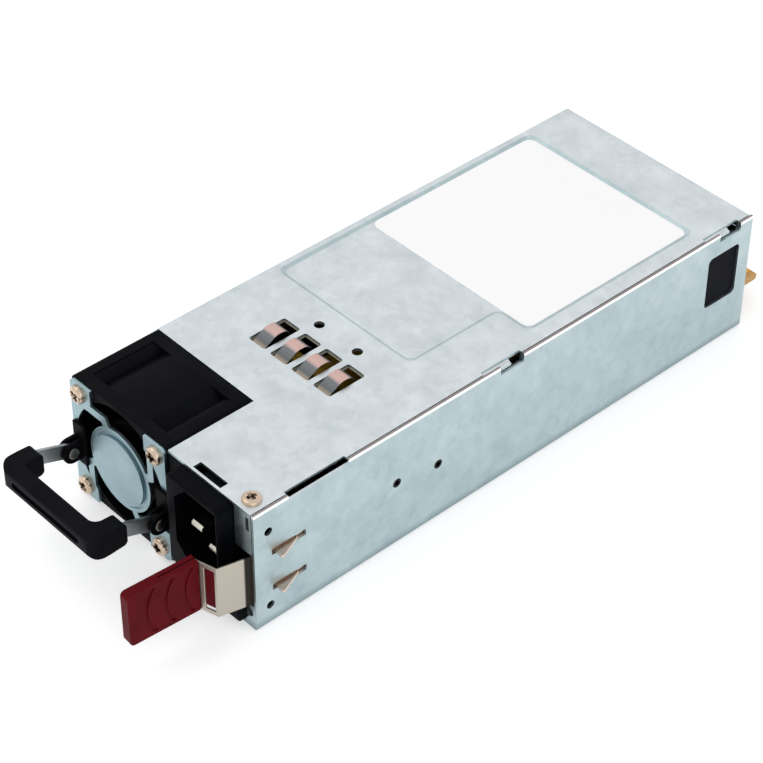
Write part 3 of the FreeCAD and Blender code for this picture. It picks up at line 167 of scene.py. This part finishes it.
# ---------------------------------------------------------------- finishes: sizes of their patterns
SPANGLE = 2.6           # across one zinc crystal
CLOUD = 10.0            # across one paler or duller patch of a sheet
ROLLING = 0.9           # between rolling marks; the real 0.1 is too fine to show and is drawn this coarse
ALONG_ROLL = (1, 0.06, 1)       # draws a pattern out long in the rolling direction, Y
MOULD_GRIT = 0.55       # eroded grain of a mould; the real 0.1 is too fine to show and is drawn this coarse
MELT_FLOW = 9.0         # across one patch where a moulding came out a little paler or darker
FINE_MARKS = 2.2        # polishing marks to the millimetre; the real ones are too fine to show
PATINA = 6.0            # across one duller patch of a plating
TRACK_UNIT = 6.0        # the track pattern's unit: rows lie a quarter of it apart and break at every half
METAL_RELIEF = 0.004    # depth of rolling and polishing marks
TRACK_RELIEF = 0.03     # height of a track under its resist

# painted shade: walls and slopes take the darker, bluer tones and level faces the paler ones
LIT_FLAT_TONES = (0.1, "#C5CDD1"), (0.9, "#DDE3E6")
SHADED_WALL_TONES = (0.1, "#A4B7BC"), (0.9, "#BECDD0")
# painted shade towards the bottom of the tray's walls
LOW_SHADE_TONE = "#6F8489"
# painted highlight in pure white round the top of the tray's walls, and the grey of the level top face there
TOP_HIGHLIGHT_TONE, CUT_TONE = "#FFFFFF", "#938B8A"
LOW_SHADE_HEIGHTS = (3.4, 0.3)         # heights between which the tray's walls are painted darker towards their bottom, as shade
TOP_HIGHLIGHT_HEIGHTS = (38.95, 39.1)             # heights between which the painted highlight round the top of the tray's walls begins; level faces there are grey

# the plug-in end's bare corners begin between these two places, across from the middle and along the card
BARE_X = (28.9, 29.2)
BARE_Y = (92.5, 92.7)

FINGER_HEIGHTS = (39.0, 41.7)   # from a grounding finger's root to its crest, over which its painted shade and painted highlight are laid
LEAF_SHADOW_SPAN = (-97.0, -91.0)      # stretch along Y where the latch's strip goes in behind the wall, with a painted shadow there and painted light on the teeth beyond


def galvanised(name, folded=False):
    """Hot-dip galvanised steel: crystals that differ slightly in tone and gloss give a soft, cool shimmer.

    Walls and slopes are painted bluer and darker than the flats, as shade. A folded one is painted darker
    towards the bottom of its walls, as shade, and pure white round their top, as a painted highlight, with
    grey on the level top face there.
    """
    material, tree, place = new_material(name)
    wander = add_node(tree, "ShaderNodeTexNoise", Vector=place, Scale=0.5 / SPANGLE, Detail=2.0)
    feathered = add_node(tree, "ShaderNodeVectorMath", {"operation": "MULTIPLY_ADD"},
                         i0=wander.outputs["Color"], i1=(SPANGLE,) * 3, i2=place)
    crystals = add_node(tree, "ShaderNodeTexVoronoi", Vector=feathered, Scale=1 / SPANGLE)
    tone = add_node(tree, "ShaderNodeSeparateColor", Color=crystals.outputs["Color"])
    cloud = add_node(tree, "ShaderNodeTexNoise", Vector=place, Scale=1 / CLOUD, Detail=5.0, Roughness=0.65)
    cloudy = add_node(tree, "ShaderNodeMapRange", Value=cloud, From_Min=0.3, From_Max=0.7, To_Max=0.65)
    mixed = add_node(tree, "ShaderNodeMath", {"operation": "MULTIPLY_ADD"}, i0=tone, i1=0.3, i2=cloudy)
    # painted shade: upright faces and slopes are coloured darker and bluer than level ones
    flat = add_node(tree, "ShaderNodeMapRange", Value=levelness(tree), From_Min=0.93, From_Max=0.995)
    colour = add_node(tree, "ShaderNodeMix", {"data_type": "RGBA"}, i0=flat,
                      i6=add_node(tree, "ShaderNodeValToRGB", {"stops": SHADED_WALL_TONES}, Fac=mixed),
                      i7=add_node(tree, "ShaderNodeValToRGB", {"stops": LIT_FLAT_TONES}, Fac=mixed)).outputs[2]
    if folded:
        height = add_node(tree, "ShaderNodeSeparateXYZ", Vector=place).outputs["Z"]
        # painted shade: darker towards the bottom of the walls
        low_shade = add_node(tree, "ShaderNodeMapRange", Value=height, From_Min=LOW_SHADE_HEIGHTS[0],
                        From_Max=LOW_SHADE_HEIGHTS[1], To_Max=0.75)
        top_highlight_share = add_node(tree, "ShaderNodeMapRange", Value=height, From_Min=TOP_HIGHLIGHT_HEIGHTS[0], From_Max=TOP_HIGHLIGHT_HEIGHTS[1])
        # painted highlight: upright faces at the top of the walls are pure white, level ones grey
        cut = add_node(tree, "ShaderNodeMix", {"data_type": "RGBA"}, i0=flat, i6=linear(TOP_HIGHLIGHT_TONE),
                       i7=linear(CUT_TONE)).outputs[2]
        colour = add_node(tree, "ShaderNodeMix", {"data_type": "RGBA"}, i0=low_shade, i6=colour,
                          i7=linear(LOW_SHADE_TONE)).outputs[2]
        colour = add_node(tree, "ShaderNodeMix", {"data_type": "RGBA"}, i0=top_highlight_share, i6=colour, i7=cut).outputs[2]
    rolled = add_node(tree, "ShaderNodeMapping", Vector=place, Scale=ALONG_ROLL)
    marks = add_node(tree, "ShaderNodeTexNoise", Vector=rolled, Scale=1 / ROLLING, Detail=3.0)
    gloss = add_node(tree, "ShaderNodeMapRange", Value=tone, To_Min=0.33, To_Max=0.41)
    relief = add_node(tree, "ShaderNodeBump", Height=marks, Strength=0.6, Distance=METAL_RELIEF * MM)
    return finish_material(material, add_node(tree, "ShaderNodeBsdfPrincipled", Base_Color=colour,
                                              Metallic=1.0, Roughness=gloss, Normal=relief))


def moulded(name, dark, colour, rough, specular=0.22, grit=MOULD_GRIT, relief=0.012):
    """Moulded plastic, or a coat, film or ceramic with a like grain: even grit that dulls the highlight."""
    material, tree, place = new_material(name)
    grain = add_node(tree, "ShaderNodeTexNoise", Vector=place, Scale=1 / grit, Detail=3.0, Roughness=0.65)
    flow = add_node(tree, "ShaderNodeTexNoise", Vector=place, Scale=1 / MELT_FLOW, Detail=2.0)
    base = add_node(tree, "ShaderNodeValToRGB", {"stops": [(0.3, dark), (0.7, colour)]}, Fac=flow)
    gloss = add_node(tree, "ShaderNodeMapRange", Value=grain, To_Min=rough - 0.07, To_Max=rough + 0.09)
    bump = add_node(tree, "ShaderNodeBump", Height=grain, Strength=1.0, Distance=relief * MM)
    return finish_material(material, add_node(tree, "ShaderNodeBsdfPrincipled", Base_Color=base, IOR=1.5,
                                              Specular_IOR_Level=specular, Roughness=gloss, Normal=bump))


def plated(name, worn, colour, rough, streaks=(1, 1, 1), light_along_axis=None, recess_shade=0.0):
    """Plated, ground or rolled metal: a smooth skin with faint marks in one direction.

    With colour stops along an axis, the colour changes along it as painted highlight and painted shade. With
    a reach for recesses, the colour is darkened within that reach as painted shade.
    """
    material, tree, place = new_material(name)
    along = add_node(tree, "ShaderNodeMapping", Vector=place, Scale=streaks)
    marks = add_node(tree, "ShaderNodeTexNoise", Vector=along, Scale=FINE_MARKS, Detail=4.0)
    broad = add_node(tree, "ShaderNodeTexNoise", Vector=place, Scale=1 / PATINA, Detail=2.0)
    base = add_node(tree, "ShaderNodeValToRGB", {"stops": [(0.35, worn), (0.65, colour)]}, Fac=broad)
    if light_along_axis:
        axis, (start, end), stops = light_along_axis
        step = add_node(tree, "ShaderNodeSeparateXYZ", Vector=place).outputs[axis]
        share = add_node(tree, "ShaderNodeMapRange", Value=step, From_Min=start, From_Max=end)
        base = add_node(tree, "ShaderNodeValToRGB", {"stops": stops}, Fac=share)
    # painted shade: recesses are darkened by ambient occlusion
    if recess_shade:
        sky = add_node(tree, "ShaderNodeAmbientOcclusion", {"samples": 8, "only_local": True},
                       Distance=recess_shade * MM).outputs["AO"]
        recess_shade_share = add_node(tree, "ShaderNodeMapRange", Value=sky, From_Min=0.45, From_Max=0.85)
        base = add_node(tree, "ShaderNodeMix", {"data_type": "RGBA", "blend_type": "MULTIPLY"}, i0=1.0,
                        i6=base, i7=recess_shade_share).outputs[2]
    gloss = add_node(tree, "ShaderNodeMapRange", Value=marks, To_Min=rough - 0.05, To_Max=rough + 0.08)
    relief = add_node(tree, "ShaderNodeBump", Height=marks, Strength=0.5, Distance=METAL_RELIEF * MM)
    return finish_material(material, add_node(tree, "ShaderNodeBsdfPrincipled", Base_Color=base,
                                              Metallic=1.0, Roughness=gloss, Normal=relief))


def circuit_board(name, mask, tracks, laminate):
    """Glass laminate under solder resist: copper tracks give a faint pattern of pale lines.

    The cut edges and the two corners of the plug-in end are bare amber laminate.
    """
    material, tree, place = new_material(name)
    lanes = add_node(tree, "ShaderNodeTexBrick", {"offset": 0.37}, Vector=place, Scale=1 / TRACK_UNIT,
                     Mortar_Size=0.05, Color1=linear(mask), Color2=linear(mask), Mortar=linear(tracks))
    where = add_node(tree, "ShaderNodeSeparateXYZ", Vector=place).outputs
    across = add_node(tree, "ShaderNodeMath", {"operation": "ABSOLUTE"}, i0=where["X"])
    side = add_node(tree, "ShaderNodeMapRange", Value=across, From_Min=BARE_X[0], From_Max=BARE_X[1])
    end = add_node(tree, "ShaderNodeMapRange", Value=where["Y"], From_Min=BARE_Y[0], From_Max=BARE_Y[1])
    corner = add_node(tree, "ShaderNodeMath", {"operation": "MULTIPLY"}, i0=side, i1=end)
    edge = add_node(tree, "ShaderNodeMapRange", Value=levelness(tree), From_Min=0.3, From_Max=0.1)
    bare = add_node(tree, "ShaderNodeMath", {"operation": "MAXIMUM"}, i0=corner, i1=edge)
    colour = add_node(tree, "ShaderNodeMix", {"data_type": "RGBA"}, i0=bare, i6=lanes,
                      i7=linear(laminate)).outputs[2]
    relief = add_node(tree, "ShaderNodeBump", Height=lanes.outputs["Fac"], Strength=0.5,
                      Distance=TRACK_RELIEF * MM)
    return finish_material(material, add_node(tree, "ShaderNodeBsdfPrincipled", Base_Color=colour, IOR=1.55,
                                              Roughness=0.34, Specular_IOR_Level=0.4, Normal=relief))


# ---------------------------------------------------------------- finishes of this supply's pieces
FINISHES = {
    # galvanised sheet: pale grey with soft crystals, walls painted darker and bluer as shade; the tray is
    # painted with a white highlight along its walls' top and with shade towards their bottom
    "zinc_sheet": lambda: galvanised("galvanised_steel_sheet"),
    "zinc_tray": lambda: galvanised("galvanised_steel_folded", folded=True),
    # electrocoated steel: even matt black
    "black_sheet": lambda: moulded("electrocoated_black_steel", "#0A0B0D", "#0F1013", rough=0.46,
                                   specular=0.03, grit=0.7, relief=0.004),
    # yellow passivated zinc: pale beige gold, with painted shade in the recesses
    "yellow_zinc": lambda: plated("yellow_passivated_zinc", "#BCA690", "#D4C0AC", rough=0.26, recess_shade=1.6),
    # stainless spring strip: warm beige satin, rolled along its length
    "spring_steel": lambda: plated("rolled_stainless_strip", "#B2ACA0", "#BAB4A8", rough=0.34,
                                   streaks=(2, 0.15, 2)),
    # stainless fingers: beige at the root, painted shade in dull grey on the ramps and a painted highlight
    # in pale pink on the crests
    "finger_steel": lambda: plated("stainless_fingers_painted_light", "#6E7173", "#787B7D", rough=0.4,
                                   streaks=(2, 0.3, 2),
                                   light_along_axis=("Z", FINGER_HEIGHTS, [(0.1, "#9C8F80"), (0.3, "#5D6062"),
                                                               (0.78, "#686B6E"), (0.95, "#CFAFA7")])),
    # the latch's strip: beige, with a painted shadow where it runs in behind the wall, and painted lighter
    # and pinker beyond it, on the teeth, as painted light
    "latch_steel": lambda: plated("latch_strip_painted_light", "#B2ACA0", "#BAB4A8", rough=0.34,
                                  streaks=(2, 0.15, 2),
                                  light_along_axis=("Y", LEAF_SHADOW_SPAN, [(0.36, "#B6B0A4"), (0.44, "#2B2723"),
                                                         (0.72, "#2B2723"), (0.8, "#DCC6B6")])),
    # coated film: blank matt white
    "label_white": lambda: moulded("blank_white_film", "#FEFEFE", "#FFFFFF", rough=0.5, specular=0.1,
                                   grit=0.8, relief=0.002),
    # film seen through the windows: near black with a slight blue cast, a dark sheet that stands for the
    # shade inside
    "black_film": lambda: moulded("near_black_film_for_shade", "#121319", "#17181F", rough=0.42,
                                  specular=0.02, grit=1.0, relief=0.003),
    # glass-filled PBT: dense satin black
    "fan_black": lambda: moulded("black_glass_filled_pbt", "#08090C", "#0D0E12", rough=0.46, specular=0.03),
    # ground steel of shaft and bearings: bright and smooth
    "bearing_steel": lambda: plated("ground_bearing_steel", "#B0AFAD", "#C9C8C6", rough=0.2),
    # rivets of the latch: nearly matt black, as painted shade that stands for the dark of the holes they sit
    # in
    "black_rivet": lambda: plated("near_black_rivets_for_hole_shade", "#1A1A1C", "#222225", rough=0.4),
    # plain steel rivets: dull warm grey, with painted shade in their own crevices
    "rivet_steel": lambda: plated("upset_steel_rivet", "#6A6561", "#7A746F", rough=0.32, recess_shade=0.8),
    # enamelled wire: brown copper, satin, finely streaked
    "copper_winding": lambda: plated("enamelled_copper_wire", "#8C4A26", "#B8683A", rough=0.34,
                                     streaks=(3, 0.3, 3)),
    # nickel plated yoke of the fan's magnet: mid grey satin
    "magnet_grey": lambda: plated("nickel_plated_yoke", "#5C5E61", "#77797C", rough=0.36),
    # blue passivated steel of the guard: even pale cyan, satin
    "blue_steel": lambda: plated("blue_passivated_steel", "#96AEB5", "#9FB7BE", rough=0.36),
    # nickel plated strap of the handle: mid grey satin with faint lines across the supply
    "strap_steel": lambda: plated("nickel_plated_strap", "#8F9396", "#A3A7A9", rough=0.3,
                                  streaks=(0.2, 2, 2)),
    # glass-filled nylon: matt black with a slight blue cast
    "grip_black": lambda: moulded("black_glass_filled_nylon", "#090A0E", "#0F1016", rough=0.46,
                                  specular=0.04),
    # nylon: deep red, satin
    "tab_red": lambda: moulded("dark_red_nylon", "#520810", "#640D18", rough=0.44, specular=0.05),
    # thermoplastic of the inlet: black, a little smoother than the fan
    "inlet_black": lambda: moulded("black_thermoplastic", "#07080B", "#0B0C11", rough=0.4, specular=0.03),
    # nickel plated brass blades: bright warm white metal
    "pin_nickel": lambda: plated("nickel_plated_brass", "#BFBAAE", "#DAD6CC", rough=0.22),
    # solder resist: clear mid green, with amber laminate where it is cut
    "board_green": lambda: circuit_board("solder_resist_on_laminate", "#174A2D", "#2A6B45", "#C8964F"),
    # capacitor boxes: ochre plastic, satin
    "film_yellow": lambda: moulded("yellow_capacitor_box", "#B89022", "#CFA62E", rough=0.4, specular=0.4),
    # sintered ferrite: dark grey ceramic, dull and gritty
    "ferrite": lambda: moulded("sintered_ferrite", "#2C2D30", "#3A3B3E", rough=0.6, specular=0.3, grit=0.8,
                               relief=0.03),
    # shrink sleeve: dark blue film drawn tight, fairly glossy
    "can_sleeve": lambda: moulded("shrink_sleeve", "#191E2E", "#20263A", rough=0.3, specular=0.4, grit=2.0,
                                  relief=0.01),
    # extruded aluminium: pale grey with die lines along it
    "heatsink_alloy": lambda: plated("extruded_aluminium", "#B2B4B7", "#C6C8CA", rough=0.32,
                                     streaks=(2, 0.15, 2)),
    # moulded epoxy of transistors and blocks: charcoal, matt
    "epoxy_black": lambda: moulded("moulded_epoxy", "#141415", "#1B1B1C", rough=0.5, specular=0.3),
    # polyester tape round windings: amber yellow with a soft gloss
    "winding_tape": lambda: moulded("polyester_tape", "#B7922C", "#D0A93A", rough=0.32, specular=0.4,
                                    grit=1.5, relief=0.01),
    # hard gold on the contacts: warm and bright, wiped lengthwise by plugging in
    "gold_contact": lambda: plated("hard_gold_plate", "#CE9648", "#E2AE62", rough=0.22,
                                   streaks=(2, 0.15, 2)),
    # bare copper: warm brown red, satin
    "copper_block": lambda: plated("bare_copper", "#A05C3C", "#BC7250", rough=0.3),
}
OWN_FINISH = {"base_tray": "zinc_tray", "grounding_springs": "finger_steel", "latch_rivets": "black_rivet",
              "latch_leaf": "latch_steel", "handle_rivets": "rivet_steel"}
made_finishes = {}


def finish_for(node):
    name = OWN_FINISH.get(node, SLOT_OF[node])
    if name not in made_finishes:
        made_finishes[name] = FINISHES[name]()
    return made_finishes[name]


def paint(obj, node):
    obj.data.materials.clear()
    obj.data.materials.append(finish_for(node))


for node, obj in frame["nodes"].items():
    paint(obj, node)


# ---------------------------------------------------------------- pieces that stand for CAD nodes
def body_of_node(node):
    cad_piece = frame["nodes"][node]
    return next(name for name, body in frame["bodies"].items() if cad_piece in body.children_recursive)


def stand_for(obj, node):
    """Finishes a piece of the scene and puts it in the place of a CAD node."""
    paint(obj, node)
    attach(obj, body_of_node(node))
    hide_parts(node)


def piece_from(name, bm):
    """A new object with a mesh built in bmesh."""
    mesh = bpy.data.meshes.new(name)
    bm.to_mesh(mesh)
    bm.free()
    obj = bpy.data.objects.new(name, mesh)
    bpy.context.scene.collection.objects.link(obj)
    return obj


# ---------------------------------------------------------------- edges broken
MERGE = 0.001 * MM
FLAT = math.radians(1)
SHARP = math.radians(38)
EDGE_STEPS = 2

# width of each piece's broken edges
EASED = {"base_tray": 0.12, "top_cover": 0.12, "front_panel": 0.2, "fan_frame": 0.25, "fan_guard": 0.16,
         "ac_inlet_body": 0.25, "handle_grip": 0.55, "handle_strap": 0.2, "handle_bracket_left": 0.2,
         "handle_bracket_right": 0.2, "latch_leaf": 0.12, "latch_foot": 0.12, "latch_tab": 0.4,
         "grounding_springs": 0.06}

PRESSED = {"base_tray", "top_cover"}
FLAT_PANEL = 60 * MM * MM       # a face of pressed sheet from this area on stays flat up to its bends
BEND = math.radians(12)


def ease_edges(node, width):
    """A copy of a CAD node with its sharp edges broken, as tumbling, moulding or bending leaves them."""
    bm = bmesh.new()
    bm.from_mesh(frame["nodes"][node].data)
    for layer in list(bm.loops.layers.uv.values()):
        bm.loops.layers.uv.remove(layer)
    bmesh.ops.remove_doubles(bm, verts=bm.verts, dist=MERGE)
    bmesh.ops.dissolve_limit(bm, angle_limit=FLAT, verts=bm.verts, edges=bm.edges, delimit={"NORMAL"})
    for edge in bm.edges:
        if len(edge.link_faces) == 2:
            panel = node in PRESSED and max(face.calc_area() for face in edge.link_faces) > FLAT_PANEL
            edge.smooth = edge.calc_face_angle() < (BEND if panel else SHARP)
    obj = piece_from(node + "_eased", bm)
    if "custom_normal" in obj.data.attributes:
        obj.data.attributes.remove(obj.data.attributes["custom_normal"])
    obj.data.polygons.foreach_set("use_smooth", [True] * len(obj.data.polygons))
    bevel = obj.modifiers.new("eased_edges", "BEVEL")
    bevel.width, bevel.segments = width * MM, EDGE_STEPS
    bevel.limit_method, bevel.angle_limit = "ANGLE", SHARP
    bevel.harden_normals = True
    stand_for(obj, node)


for node, width in EASED.items():
    ease_edges(node, width)


# ---------------------------------------------------------------- parts that are set out by rule
AROUND = 40             # points round a turned head
NEARLY_NOTHING = 1e-6   # keeps a division off zero
# a head's profile from its rim to its top, as shares of its radius and height
DOME = ((1.0, 0.0), (1.0, 0.38), (0.97, 0.58), (0.9, 0.76), (0.78, 0.9), (0.64, 0.985))
RIVET_CROWN = 0.3       # share of a rivet head's radius that is flat on top
# a cross recess narrows downwards, as shares of its reach and depth
RECESS_WALLS = ((1.0, 0.0), (0.86, 0.5), (0.6, 1.0))


def cross_reach(arm, half_width, k):
    """How far a cross recess reaches from its middle towards point k of the AROUND points of a head."""
    angle = 2 * math.pi * k / AROUND
    c, s = (max(abs(part), NEARLY_NOTHING) for part in (math.cos(angle), math.sin(angle)))
    return max(min(arm / c, half_width / s), min(arm / s, half_width / c))


def turned_head(radius, height, shank, shank_length, recess=None):
    """A screw or rivet that stands on its seat at the origin, head up.

    The head is domed, with a rounded shoulder. recess is a cross's (arm length, arm half width, depth).
    """
    rings = [[(shank, -shank_length)] * AROUND, [(shank, 0.0)] * AROUND]
    rings += [[(radius * a, height * b)] * AROUND for a, b in DOME]
    if recess:
        arm, half_width, depth = recess
        for share, sunk in RECESS_WALLS:
            rings.append([(cross_reach(arm, half_width, k) * share, height - depth * sunk)
                          for k in range(AROUND)])
    else:
        rings.append([(radius * RIVET_CROWN, height)] * AROUND)
    bm = bmesh.new()
    loops = []
    for ring in rings:
        loop = []
        for k, (r, z) in enumerate(ring):
            angle = 2 * math.pi * k / AROUND
            loop.append(bm.verts.new((r * math.cos(angle) * MM, r * math.sin(angle) * MM, z * MM)))
        loops.append(loop)
    for lower, upper in zip(loops, loops[1:]):
        for k in range(AROUND):
            j = (k + 1) % AROUND
            bm.faces.new((lower[k], lower[j], upper[j], upper[k]))
    bm.faces.new(list(reversed(loops[0])))
    bm.faces.new(loops[-1])
    bmesh.ops.recalc_face_normals(bm, faces=bm.faces)
    part = piece_from("turned_part", bm)
    part.data.shade_smooth()
    part.data.set_sharp_from_angle(angle=SHARP)
    return part


def contact_strip(width, length, thickness, lead_in):
    """One plated contact with its two lead-in corners cut off."""
    outline = [(0, 0), (width, 0), (width, length - lead_in), (width - lead_in, length), (lead_in, length),
               (0, length - lead_in)]
    bm = bmesh.new()
    low = [bm.verts.new((x * MM, y * MM, 0)) for x, y in outline]
    high = [bm.verts.new((x * MM, y * MM, thickness * MM)) for x, y in outline]
    bm.faces.new(list(reversed(low)))
    bm.faces.new(high)
    for k in range(len(outline)):
        j = (k + 1) % len(outline)
        bm.faces.new((low[k], low[j], high[j], high[k]))
    return piece_from("contact_strip", bm)


def setting_out_tree():
    """A node tree that sets the same part on every mark of a mesh, facing one way, each turned by chance."""
    tree = bpy.data.node_groups.new("set_out_parts", "GeometryNodeTree")
    for name, kind in (("Marks", "NodeSocketGeometry"), ("Part", "NodeSocketObject"),
                       ("Facing", "NodeSocketVector"), ("Turn", "NodeSocketFloat"),
                       ("Seed", "NodeSocketInt"), ("Finish", "NodeSocketMaterial")):
        tree.interface.new_socket(name, in_out="INPUT", socket_type=kind)
    tree.interface.new_socket("Parts", in_out="OUTPUT", socket_type="NodeSocketGeometry")
    given = add_node(tree, "NodeGroupInput").outputs
    part = add_node(tree, "GeometryNodeObjectInfo", Object=given["Part"]).outputs["Geometry"]
    chance = add_node(tree, "FunctionNodeRandomValue", {"data_type": "FLOAT"}, i2=0.0, i3=given["Turn"],
                      Seed=given["Seed"]).outputs[1]
    spin = add_node(tree, "ShaderNodeCombineXYZ", Z=chance)
    facing = add_node(tree, "FunctionNodeRotateRotation", {"rotation_space": "LOCAL"}, i0=given["Facing"],
                      i1=spin)
    points = add_node(tree, "GeometryNodeMeshToPoints", Mesh=given["Marks"])
    placed = add_node(tree, "GeometryNodeInstanceOnPoints", Points=points, Instance=part, Rotation=facing)
    real = add_node(tree, "GeometryNodeRealizeInstances", Geometry=placed)
    painted = add_node(tree, "GeometryNodeSetMaterial", Geometry=real, Material=given["Finish"])
    add_node(tree, "NodeGroupOutput", i0=painted)
    return tree


SET_OUT = setting_out_tree()


def set_out(name, node, part, groups, turn=0.0, seed=1):
    """One plain mesh of a part repeated on marks; groups are (facing in degrees, marks in metres)."""
    whole = bmesh.new()
    for facing, marks in groups:
        mesh = bpy.data.meshes.new("marks")
        mesh.from_pydata([tuple(mark) for mark in marks], [], [])
        holder = bpy.data.objects.new("marks", mesh)
        bpy.context.scene.collection.objects.link(holder)
        rule = holder.modifiers.new("set_out", "NODES")
        rule.node_group = SET_OUT
        values = {"Part": part, "Facing": Vector([math.radians(a) for a in facing]), "Turn": turn,
                  "Seed": seed, "Finish": finish_for(node)}
        for socket in SET_OUT.interface.items_tree:
            if socket.in_out == "INPUT" and socket.name in values:
                rule[socket.identifier] = values[socket.name]
        ready = holder.evaluated_get(bpy.context.evaluated_depsgraph_get())
        plain = bpy.data.meshes.new_from_object(ready)
        whole.from_mesh(plain)
        holder.modifiers.clear()
        bpy.data.objects.remove(holder)
    bpy.data.objects.remove(part)
    obj = piece_from(name, whole)
    obj.data.shade_smooth()
    obj.data.set_sharp_from_angle(angle=SHARP)
    stand_for(obj, node)


# ---------------------------------------------------------------- screws, rivets and contacts
FORWARD, UPWARD, LEFTWARD, RIGHTWARD = (90, 0, 0), (0, 0, 0), (0, -90, 0), (0, 90, 0)
QUARTER_TURN = math.pi / 2

SCREW_SHANK = 1.45
FAN_HEAD, FAN_HEAD_HEIGHT, FAN_SHANK_LENGTH = 2.7, 1.6, 4.5
FAN_RECESS = (1.6, 0.62, 1.3)           # arm, half width, depth
LID_HEAD, LID_HEAD_HEIGHT, LID_SHANK_LENGTH = 2.65, 1.1, 4.9
LID_RECESS = (1.35, 0.6, 0.9)

RIVET_HEAD, RIVET_DOME, RIVET_SHANK = 1.8, 0.45, 1.05
CHEEKS_APART = 3.3                      # across one bracket's two cheeks
RIVET_PARTING = 0.05                    # from a bracket's middle to the end of each half rivet

CONTACT_PITCH, CONTACT_WIDTH, CONTACT_THICKNESS = 2.48, 1.7, 0.12
CONTACT_LEAD_IN = 0.22 * CONTACT_WIDTH
KEY_GAP = (20.8, 24.6)                  # no contacts where the keying notch is, from the first contact


def set_out_fan_screws():
    """Four screws in the fan's corners, heads to the front."""
    low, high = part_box("fan_screws")
    marks = [Vector((x, low.y + FAN_HEAD_HEIGHT * MM, z))
             for x in (low.x + FAN_HEAD * MM, high.x - FAN_HEAD * MM)
             for z in (low.z + FAN_HEAD * MM, high.z - FAN_HEAD * MM)]
    screw = turned_head(FAN_HEAD, FAN_HEAD_HEIGHT, SCREW_SHANK, FAN_SHANK_LENGTH, FAN_RECESS)
    set_out("fan_screw_set", "fan_screws", screw, [(FORWARD, marks)], turn=QUARTER_TURN, seed=7)


def set_out_lid_screw():
    """The screw that holds the cover's front corner."""
    low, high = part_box("cover_screw")
    mark = Vector(((low.x + high.x) / 2, (low.y + high.y) / 2, high.z - LID_HEAD_HEIGHT * MM))
    screw = turned_head(LID_HEAD, LID_HEAD_HEIGHT, SCREW_SHANK, LID_SHANK_LENGTH, LID_RECESS)
    set_out("lid_screw", "cover_screw", screw, [(UPWARD, [mark])], turn=QUARTER_TURN, seed=3)


def set_out_handle_rivets():
    """Half a rivet on each cheek of the two brackets, those that face left and those that face right."""
    low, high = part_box("handle_rivets")
    y, z = (low.y + high.y) / 2, (low.z + high.z) / 2
    left, right = low.x + RIVET_DOME * MM, high.x - RIVET_DOME * MM
    to_left = [Vector((x, y, z)) for x in (left, right - CHEEKS_APART * MM)]
    to_right = [Vector((x, y, z)) for x in (left + CHEEKS_APART * MM, right)]
    rivet = turned_head(RIVET_HEAD, RIVET_DOME, RIVET_SHANK, CHEEKS_APART / 2 - RIVET_PARTING)
    set_out("handle_rivet_set", "handle_rivets", rivet, [(LEFTWARD, to_left), (RIGHTWARD, to_right)],
            turn=QUARTER_TURN, seed=5)


def set_out_contacts():
    """The card's plated contacts, in a row on its underside and one on its top."""
    low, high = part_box("card_contacts")
    count = round((high.x - low.x - CONTACT_WIDTH * MM) / (CONTACT_PITCH * MM)) + 1
    steps = [CONTACT_PITCH * k for k in range(count)]
    faces = (low.z, high.z - CONTACT_THICKNESS * MM)
    marks = [Vector((low.x + step * MM, low.y, z)) for step in steps if not KEY_GAP[0] < step < KEY_GAP[1]
             for z in faces]
    strip = contact_strip(CONTACT_WIDTH, (high.y - low.y) / MM, CONTACT_THICKNESS, CONTACT_LEAD_IN)
    set_out("card_edge_contacts", "card_contacts", strip, [(UPWARD, marks)])


set_out_fan_screws()
set_out_lid_screw()
set_out_handle_rivets()
set_out_contacts()


# ---------------------------------------------------------------- stage
FLOOR_SIZE = 6.0        # metres
FLOOR_GLOW = 0.4        # lifts the floor to white, for the camera and in gloss only
SURROUND = (0.84, 1.0)  # the surround's strength as light on the object, and as the camera and gloss see it


def seen_directly(tree):
    """1 for a ray that comes from the camera or from a glossy surface, else 0."""
    rays = add_node(tree, "ShaderNodeLightPath").outputs
    return add_node(tree, "ShaderNodeMath", {"operation": "MAXIMUM"}, i0=rays["Is Camera Ray"],
                    i1=rays["Is Glossy Ray"])


def white_floor():
    """White paper that keeps the soft shadow."""
    bpy.ops.mesh.primitive_plane_add(size=FLOOR_SIZE, location=(0, 0, 0))
    floor = bpy.context.object
    floor.name = "floor"
    material = bpy.data.materials.new("white_paper")
    material.use_nodes = True
    tree = material.node_tree
    tree.nodes.clear()
    paper = add_node(tree, "ShaderNodeBsdfDiffuse", Color=linear("#EDEDED"))
    glow = add_node(tree, "ShaderNodeEmission", Color=linear("#FFFFFF"),
                    Strength=add_node(tree, "ShaderNodeMapRange", Value=seen_directly(tree),
                                      To_Max=FLOOR_GLOW))
    finish_material(material, add_node(tree, "ShaderNodeAddShader", i0=paper, i1=glow))
    floor.data.materials.append(material)


def white_surround():
    """A white world for the camera and reflections, which also gives most of the light."""
    world = bpy.data.worlds.new("studio")
    world.use_nodes = True
    tree = world.node_tree
    tree.nodes.clear()
    back = add_node(tree, "ShaderNodeBackground", Color=linear("#FFFFFF"),
                    Strength=add_node(tree, "ShaderNodeMapRange", Value=seen_directly(tree),
                                      To_Min=SURROUND[0], To_Max=SURROUND[1]))
    add_node(tree, "ShaderNodeOutputWorld", Surface=back)
    bpy.context.scene.world = world


bpy.context.scene.view_settings.view_transform = "Standard"
place_camera()
white_floor()
white_surround()
add_lamp("key", power=2.0, size=0.9, place=(-0.6, -0.5, 1.1))
add_lamp("fill", power=1.5, size=1.0, place=(1.0, -0.5, 0.5))
